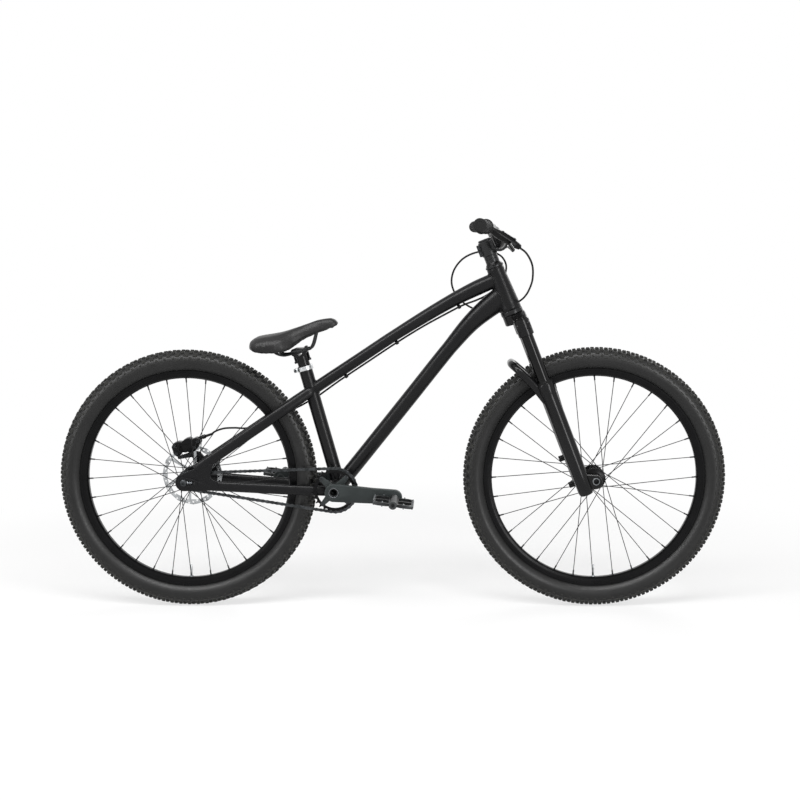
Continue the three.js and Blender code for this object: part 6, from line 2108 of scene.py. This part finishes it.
        return Shop.join("brake_master_body", [clamp, body, lid, screws, nut, ears])

    def blade(self) -> Object:
        """Forge the lever blade with its hooked end and pivot barrel."""
        shares = ((0, 0, 0), (-0.008, -0.114, 0.033), (-0.031, -0.362, 0.052), (-0.05, -0.686, 0.029),
                  (-0.036, -0.9, -0.045), (-0.025, -1, -0.092))
        line = spline([(Vector(self.pivot) + Vector(s) * self.blade_length) * MM for s in shares], 8)
        thick = evenly((3.5, 3.4, 3.0, 2.7, 2.7, 2.9, 3.3), len(line))
        wide = evenly((5, 4.6, 4.8, 5.6, 5.6, 5.2, 4.4), len(line))
        for sizes in (thick, wide):
            sizes[-2] *= 0.72
            sizes[-1] *= 0.3
        blade = Shop.loft("blade", oval_rings(line, thick, wide, 24, Vector(self.pivot_axis)))
        barrel = Shop.move(Shop.turned("barrel", drum(6.4, -5, 5, 0.5), 32), self.at_pivot())
        return Shop.join("forged_lever_blade", [blade, barrel])

    def build(self) -> None:
        """Build and dress the cockpit."""
        steer = PLAN.steering()
        for piece, finish, node in ((self.stem(), Finishes.anodised, "stem"),
                                    (self.faceplate(), Finishes.anodised, "stem_faceplate"),
                                    (self.bar(), Finishes.fork_coat, "handlebar"),
                                    (self.master(), Finishes.anodised, "brake_master")):
            hand_over(piece, "steering", finish, node, place=steer, angle=35)
        hand_over(self.stem_bolts(), "steering", Finishes.screw, place=steer, angle=35)
        hand_over(self.blade(), "brake_lever", Finishes.anodised, "brake_lever", place=steer)
        for name, side in SIDES:
            hand_over(self.grip(f"{name}_ribbed_grip"), "steering", Finishes.grip, f"{name}_grip",
                      place=steer @ self.along_grip(side, self.grip_inner))


# Seat


@dataclass
class Seat:
    """Collar, seatpost, cradles, rails and padded saddle, drawn in the seat frame."""

    rear: float = -120.0
    nose: float = 114.0
    half_width: float = 66.0
    rail_spread: float = 22.0
    rail_height: float = 44.0
    rail_radius: float = 3.5
    rail_half: float = 30.0
    groove_radius: float = 4.1
    post_radius: float = 15.45
    post_bore: float = 13.4
    post_foot: float = -120.0
    cradle: Triple = (21.0, 28.0, 30.0)
    upper_top: float = 54.0
    bolt_place: float = 18.0
    skin_inset: float = 1.0
    welt_inset: float = 2.4
    base_inset: float = 4.0
    base_share: float = 0.16
    swell_cap: float = 2.6
    voxel: float = 3.4
    hair: float = 0.15
    pressure: float = 4.0
    stiffness: float = 25.0
    bending: float = 4.0
    cloth_steps: int = 20
    # Sections: share of the length, half width, top and skirt
    sections: tuple[tuple[float, float, float, float], ...] = (
        (0, 0.5, 95, 84), (0.04, 0.82, 105, 76), (0.1, 0.97, 108.5, 69), (0.18, 1, 107, 63),
        (0.27, 0.98, 104.5, 58), (0.36, 0.88, 102.5, 55), (0.43, 0.72, 102.5, 57), (0.5, 0.56, 103, 64),
        (0.58, 0.45, 104, 70.5), (0.68, 0.375, 105.5, 75), (0.78, 0.33, 107, 77.5), (0.87, 0.305, 108, 78.5),
        (0.94, 0.27, 106.5, 80), (0.98, 0.2, 101, 82), (1, 0.1, 93, 85))
    # One half of a section: share of the half width and of the height
    half_section: tuple[tuple[float, float], ...] = (
        (0, 0.985), (0.35, 1), (0.68, 0.93), (0.9, 0.72), (1, 0.42), (0.96, 0.12), (0.86, 0), (0.7, 0.1),
        (0.45, 0.34), (0, 0.42))

    def ring(self, station: tuple[float, float, float, float], inset: float,
             high: float = 1.0) -> list[Vector]:
        """One section of the saddle.

        Args:
            station: Its share of the length, half width, top and skirt.
            inset: How far the skin is drawn in, in millimetres.
            high: Highest share of the height that is kept.

        Returns:
            The ring in metres.
        """
        along, wide, top, skirt = station
        x = self.rear + along * (self.nose - self.rear) + inset * (0.5 - along) * 2
        width = max(self.half_width * wide - inset, 2.0)
        ring = []
        for across, up in mirrored(self.half_section, 0, 1)[:-1]:
            z = skirt + min(up, high) * (top - skirt)
            z += inset * (-1 if z > (top + skirt) / 2 else 0.6)
            ring.append(Vector((x, across * width, z)) * MM)
        return ring

    def cover(self) -> Object:
        """Pad the saddle: a smaller form is skinned, then blown up against its cover by cloth."""
        pad = Shop.loft("padded_saddle", [self.ring(s, self.skin_inset) for s in self.sections])
        Shop.modify(pad, "REMESH", mode="VOXEL", voxel_size=self.voxel * MM)
        Shop.modify(pad, "SMOOTH", factor=0.5, iterations=3)
        before = [v.co.copy() for v in pad.data.vertices]
        self.blow_up(pad)
        cap = self.swell_cap * MM
        for vertex, start in zip(pad.data.vertices, before):
            swell = vertex.co - start
            if swell.length > cap:
                vertex.co = start + swell * (cap / swell.length)
        Shop.modify(pad, "SMOOTH", factor=0.5, iterations=2)
        return self.fit(Shop.modify(pad, "SUBSURF", levels=1, render_levels=1))

    def fit(self, pad: Object) -> Object:
        """Stretch the pad until it fills the solid saddle's box, less a hair.

        Args:
            pad: The pad, drawn in the seat frame.

        Returns:
            The pad.
        """
        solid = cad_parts["saddle"]
        to_seat = PLAN.seat().inverted() @ solid.matrix_world
        corners = [to_seat @ v.co for v in solid.data.vertices]
        for axis in range(3):
            low = min(c[axis] for c in corners) + self.hair * MM
            high = max(c[axis] for c in corners) - self.hair * MM
            start = min(v.co[axis] for v in pad.data.vertices)
            scale = (high - low) / (max(v.co[axis] for v in pad.data.vertices) - start)
            for vertex in pad.data.vertices:
                vertex.co[axis] = low + (vertex.co[axis] - start) * scale
        return pad

    def blow_up(self, pad: Object) -> None:
        """Run the cover as cloth under a little pressure and keep the result."""
        Shop.pick(pad)
        cloth = pad.modifiers.new("cloth", "CLOTH")
        cloth.settings.use_pressure = True
        cloth.settings.uniform_pressure_force = self.pressure
        cloth.settings.effector_weights.gravity = 0.0
        cloth.settings.tension_stiffness = self.stiffness
        cloth.settings.compression_stiffness = self.stiffness
        cloth.settings.bending_stiffness = self.bending
        cloth.point_cache.frame_start = 1
        cloth.point_cache.frame_end = self.cloth_steps
        for step in range(1, self.cloth_steps + 1):
            bpy.context.scene.frame_set(step)
        bpy.ops.object.modifier_apply(modifier=cloth.name)
        bpy.context.scene.frame_set(1)

    def base(self) -> Object:
        """Mould the hard base under the pad, with its rim and its three rail sockets."""
        rings = [self.ring(s, self.base_inset, self.base_share) for s in self.sections]
        shell = Shop.bevel(Shop.loft("saddle_base", rings), 0.5, 2, 60)
        sockets = [Shop.block("socket", (20, 12, 15), (-69, side * 32, 79), 3, 3) for side in (-1, 1)]
        sockets.append(Shop.block("nose_socket", (26, 22, 12), (66, 0, 93), 3.4, 3))
        return Shop.join("saddle_base", [shell, *sockets])

    def seam(self) -> Object:
        """Run the welted edge of the cover round the skirt."""
        side = [self.ring(s, self.welt_inset)[5] - Vector((0, 0, 0.6)) * MM for s in self.sections]
        return Shop.wire("saddle_edge_welt", spline(mirrored(side, 1), 6), 0.9, 8, closed=True)

    def rails(self) -> Object:
        """Bend the two rails from one rod."""
        shares = ((-2.4, 1.5, 1.1), (-1.9, 1.4, 0.4), (-1.4, 1.12, 0.067), (-1, 1, 0), (-0.8, 1, 0),
                  (0.8, 1, 0), (1, 1, 0), (1.3, 0.9, 0.3), (1.8, 0.6, 1.133), (2.1, 0.25, 1.567))
        side = [Vector((x * self.rail_half, y * self.rail_spread, self.rail_height + z * self.rail_half)) * MM
                for x, y, z in shares]
        return Shop.wire("bent_saddle_rails", spline(mirrored(side, 1), 8), self.rail_radius, 20)

    def groove(self, obj: Object) -> Object:
        """Cut the two rail grooves."""
        for side in (-1, 1):
            tool = Shop.turned("tool", drum(self.groove_radius, -60, 60), 28)
            place = shift(0, side * self.rail_spread, self.rail_height) @ AHEAD
            obj = Shop.carve(obj, Shop.move(tool, place))
        return obj

    def post(self) -> Object:
        """Turn the post and forge its lower cradle with a window under each rail."""
        long, wide, low = self.cradle
        top, radius, foot, bore = self.rail_height, self.post_radius, self.post_foot, self.post_bore
        post = Shop.turned("post", [(bore, foot), (radius - 0.6, foot), (radius, foot + 0.6),
                                    (radius, low + 4), (bore, low + 4)], 56)
        foot_line = mirrored([(-long, top - 5), (-0.85 * long, top - 7), (-0.62 * long, low)], 0)
        head = Shop.side_plate("cradle", [*foot_line, (long, top), (-long, top)], -wide, wide, (1.4, 3, 30))
        gap = [(-7, top - 5), (7, top - 5), (2, low + 3), (-2, low + 3)]
        window = Shop.side_plate("window", gap, -40, 40)
        return Shop.join("forged_seatpost", [post, Shop.carve(self.groove(head), window)])

    def upper(self) -> Object:
        """Forge the upper cradle and set its two bolts with barrel nuts."""
        long, wide, _ = self.cradle
        foot, high = self.rail_height + 0.3, self.upper_top
        outline = [(-long, foot), (long, foot), (long, foot + 4), (0.86 * long, foot + 5),
                   (0.4 * long, high - 4), (-0.4 * long, high), (-0.8 * long, high - 1), (-long, high - 3)]
        block = self.groove(Shop.side_plate("upper", outline, 3 - wide, wide - 3, (1.4, 3, 30)))
        bolt = Shop.turned("bolt", [(0, 17), (1.8, 17), (2, 15.2), (4, 15.2), (4.4, 15.8), (4.4, 20.5),
                                    (2.6, 20.9), (2.6, 50), (0, 50)], 24)
        nut = Shop.turned("nut", [(0, -10), (3.9, -10), (4.4, -9.4), (4.4, 9.4), (3.9, 10), (0, 10)], 24)
        ends = (-self.bolt_place, self.bolt_place)
        return Shop.join("upper_cradle_and_bolts", [
            block, Shop.copies("bolts", bolt, [shift(x) for x in ends]),
            Shop.copies("nuts", nut, [shift(x, 0, 49) @ AXLE for x in ends])])

    def collar(self) -> Object:
        """Turn the seat collar and mill its ears."""
        ring = Shop.turned("collar", [(17.8, -8), (20, -8), (20.8, -7.2), (20.8, -1.4), (20.2, -0.9),
                                      (20.2, -0.2), (20.8, 0.3), (20.8, 3.2), (20, 4), (17.8, 4)], 64)
        ears = [Shop.block("ear", (11, 7, 10), (-24.2, side * 4.6, -2), 2.2, 3) for side in (-1, 1)]
        return Shop.join("turned_seat_collar", [ring, *ears])

    def build(self) -> None:
        """Build and dress the seat."""
        seat = PLAN.seat()
        for piece, body, finish, node in (
                (self.collar(), "frame", Finishes.silver, "seat_collar"),
                (self.post(), "seatpost", Finishes.fork_coat, "seatpost"),
                (self.upper(), "seatpost", Finishes.anodised, "saddle_clamp"),
                (self.rails(), "seatpost", Finishes.dark_rail, "saddle_rails")):
            hand_over(piece, body, finish, node, place=seat, angle=38)
        hand_over(Shop.bolt("seat_collar_bolt", 3.6, 3, 2), "frame", Finishes.screw,
                  place=seat @ shift(-25.3, -8, -2) @ UPRIGHT, angle=38)
        cover = hand_over(self.cover(), "seatpost", Finishes.saddle_cover, "saddle", place=seat, angle=60)
        hand_over(self.base(), "seatpost", Finishes.plastic, place=seat)
        hand_over(self.seam(), "seatpost", Finishes.rubber_trim, place=seat, angle=60)


# Rear brake and axle


@dataclass
class RearEnd:
    """Caliper, bracket, rotor, axle bolts, tension screws and hose clips."""

    tilt: float = -18.0
    inner: float = 58.0
    outer: float = 97.0
    back: float = -26.0
    ahead: float = 40.0
    face_in: float = 38.0
    face_out: float = 69.0
    rotor_place: float = 52.2
    rotor_radius: float = 80.0
    rotor_holes: int = 42
    hole_reaches: Triple = (69.6, 73.0, 76.2)
    plate_out: float = 74.5
    screw_radius: float = 3.4

    def caliper(self) -> Object:
        """Shape the two-piece caliper over the rotor, with its piston cap and fitting."""
        back, ahead, inner, outer, out = self.back, self.ahead, self.inner, self.outer, self.face_out
        outline = [(back, inner + 9), (back + 5, inner + 1), (back + 14, inner + 1), (back + 19, inner + 7),
                   (8, inner + 7), (14, inner + 1), (ahead - 10, inner), (ahead + 2, inner + 9),
                   (ahead + 12, outer - 22), (ahead + 14, outer - 12), (ahead + 2, outer - 5),
                   (ahead - 8, outer - 7), (ahead - 14, outer), (ahead - 26, outer), (4, outer - 5),
                   (-6, outer - 1), (back + 9, outer - 1), (back, outer - 9)]
        body = Shop.side_plate("caliper", outline, self.face_in, out, (2.4, 3, 20))
        pocket = [(-10, inner + 13), (4, inner + 11), (24, outer - 14), (10, outer - 12), (-4, outer - 16)]
        for low in (self.face_in - 6, out - 2.5):
            body = Shop.carve(body, Shop.side_plate("pocket", pocket, low, low + 8.5))
        slot = Shop.turned("slot", drum(self.rotor_radius + 2, -1.6, 1.6), 64)
        body = Shop.carve(body, Shop.move(slot, shift(y=self.rotor_place) @ AXLE))
        # A shallow groove where the two halves meet
        split = Shop.carve(Shop.turned("split", drum(130, -0.5, 0.5), 40),
                           Shop.turned("core", drum(88, -2, 2), 40))
        body = Shop.carve(body, Shop.move(split, shift(y=self.rotor_place + 5) @ AXLE))
        piston = Shop.turned("piston_cap", [(0, out - 3), (12, out - 3), (12, out + 1.5), (11, out + 2.5),
                                            (10.4, out + 5.2), (9.6, out + 6), (5, out + 6), (4.2, out + 5),
                                            (0, out + 5)], 44)
        Shop.move(piston, shift(2, 0, (inner + outer) / 2 - 6) @ AXLE)
        fitting = Shop.turned("fitting", [(0, -4), (6, -4), (6.4, -3), (6.4, 8), (5, 9), (4.5, 12),
                                          (4.5, 57), (5.6, 58), (5.6, 66), (4.6, 67), (3.6, 68), (3.3, 84),
                                          (2.8, 84.8), (0, 84.8)], 28)
        return Shop.join("machined_caliper", [body, piston, Shop.move(fitting, shift(0, 54, 86) @ AHEAD)])

    def caliper_bolts(self) -> Object:
        """Set the bolt heads on both faces of the caliper."""
        spots = ((-18, self.inner + 9), (33, self.inner + 10), (-17, self.outer - 9), (46, self.outer - 17))
        faces = ((self.face_out - 0.5, AXLE), (self.face_in + 0.5, UPRIGHT))
        places = [shift(x, y, z) @ facing for y, facing in faces for x, z in spots]
        return Shop.copies("caliper_bolts", Shop.bolt("caliper_bolts", 3.8, 3.4, 2.1), places)

    def rotor(self) -> Object:
        """Pierce the wavy rotor."""
        rotor = Shop.twin("brake_rotor", "pierced_rotor", 0.0, 3.0)
        middle = PLAN.wheel("rear") @ shift(y=self.rotor_place)
        places = [middle @ turn(360 * (i + 0.5) / self.rotor_holes, "Y")
                  @ shift(self.hole_reaches[i % 3]) @ AXLE for i in range(self.rotor_holes)]
        return Shop.carve(rotor, Shop.copies("holes", Shop.turned("hole", drum(2.3, -6, 6), 12), places))

    def rotor_bolts(self) -> Object:
        """Set the six rotor bolts."""
        places = [turn(60 * (i + 0.25), "Y") @ shift(18, self.rotor_place + 0.9) @ AXLE for i in range(6)]
        return Shop.copies("rotor_bolts", Shop.bolt("rotor_bolts", 3.6, 2.4, 2.0), places)

    @staticmethod
    def axle() -> Object:
        """Turn the axle with its spacers and its bolt heads."""
        half = [(5, 57.8), (9, 57.8), (9, 67.2), (5, 67.2), (5, 74.9), (8, 74.9), (8.5, 75.4), (8.5, 76.6),
                (7.4, 77.4), (7.4, 80.9), (6.8, 81.4), (3.4, 81.4), (3.4, 78), (0, 78)]
        profile = [*[(r, -y) for r, y in reversed(half)], *half]
        return Shop.move(Shop.turned("rear_axle_and_bolts", profile, 48), AXLE)

    def screw(self, name: str, side: int) -> Object:
        """Turn one tension screw lying in its slot."""
        thread = [(self.screw_radius - 0.35 * (i % 2), 11.5 + 0.5 * i) for i in range(22)]
        screw = Shop.turned(name, [(0, 9.4), (4.4, 9.4), (4.6, 9.8), (4.6, 11.3), *thread, (0, 22.4)], 24)
        return Shop.move(screw, shift(0, side * (self.plate_out - 3.5), 0) @ AHEAD)

    def build(self) -> None:
        """Build and dress the rear end."""
        axle = PLAN.wheel("rear")
        brake = axle @ turn(self.tilt, "Y")
        hand_over(self.caliper(), "frame", Finishes.anodised, "brake_caliper", place=brake, angle=35)
        hand_over(self.caliper_bolts(), "frame", Finishes.screw, place=brake, angle=35)
        hand_over(Shop.twin("caliper_bracket", "milled_bracket", 1.0), "frame", Finishes.anodised,
                  "caliper_bracket")
        hand_over(self.rotor(), "rear_wheel", Finishes.rotor_steel, "brake_rotor", angle=30)
        hand_over(self.rotor_bolts(), "rear_wheel", Finishes.stainless, place=axle, angle=35)
        hand_over(self.axle(), "frame", Finishes.dark_steel, "rear_axle", place=axle, angle=35)
        for name, side in SIDES:
            hand_over(self.screw(f"{name}_threaded_tensioner", side), "frame", Finishes.stainless,
                      f"{name}_tension_screw", place=axle, angle=30)
        for i in (1, 2, 3):
            hand_over(Shop.twin(f"hose_clip_{i}", f"moulded_clip_{i}", 0.5), "frame", Finishes.plastic,
                      f"hose_clip_{i}")


def dress_rest() -> None:
    """Finish the solid pieces that are kept as they are: bearings and the steerer inside the frame."""
    for node in ("lower_bearing", "upper_bearing", "right_bottom_bearing", "left_bottom_bearing",
                 "steerer_tube"):
        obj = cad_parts[node]
        obj.data.materials.clear()
        obj.data.materials.append(Finishes.steel.material())


def main() -> None:
    """Build the dressed bike, sub-assembly by sub-assembly."""
    logging.basicConfig(level=logging.INFO, format="%(name)s: %(message)s", stream=sys.stdout)
    Studio().build()
    BrakeHose().build()
    MainFrame().build()
    Wheel().build()
    Wheel("rear", (-22.0, 33.0), 24.0, (-36.0, 57.5), 10.5, 13.0, (18.0, 51.0)).build()
    for assembly in (Drive, Fork, Cockpit, Seat, RearEnd):
        assembly().build()
    dress_rest()


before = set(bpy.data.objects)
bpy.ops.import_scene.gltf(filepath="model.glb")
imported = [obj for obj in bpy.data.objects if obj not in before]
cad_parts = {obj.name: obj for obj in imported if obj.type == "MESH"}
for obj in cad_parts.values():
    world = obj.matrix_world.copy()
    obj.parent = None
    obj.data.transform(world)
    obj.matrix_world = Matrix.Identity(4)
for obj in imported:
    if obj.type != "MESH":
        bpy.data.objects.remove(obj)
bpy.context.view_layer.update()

if __name__ == "__main__":
    main()
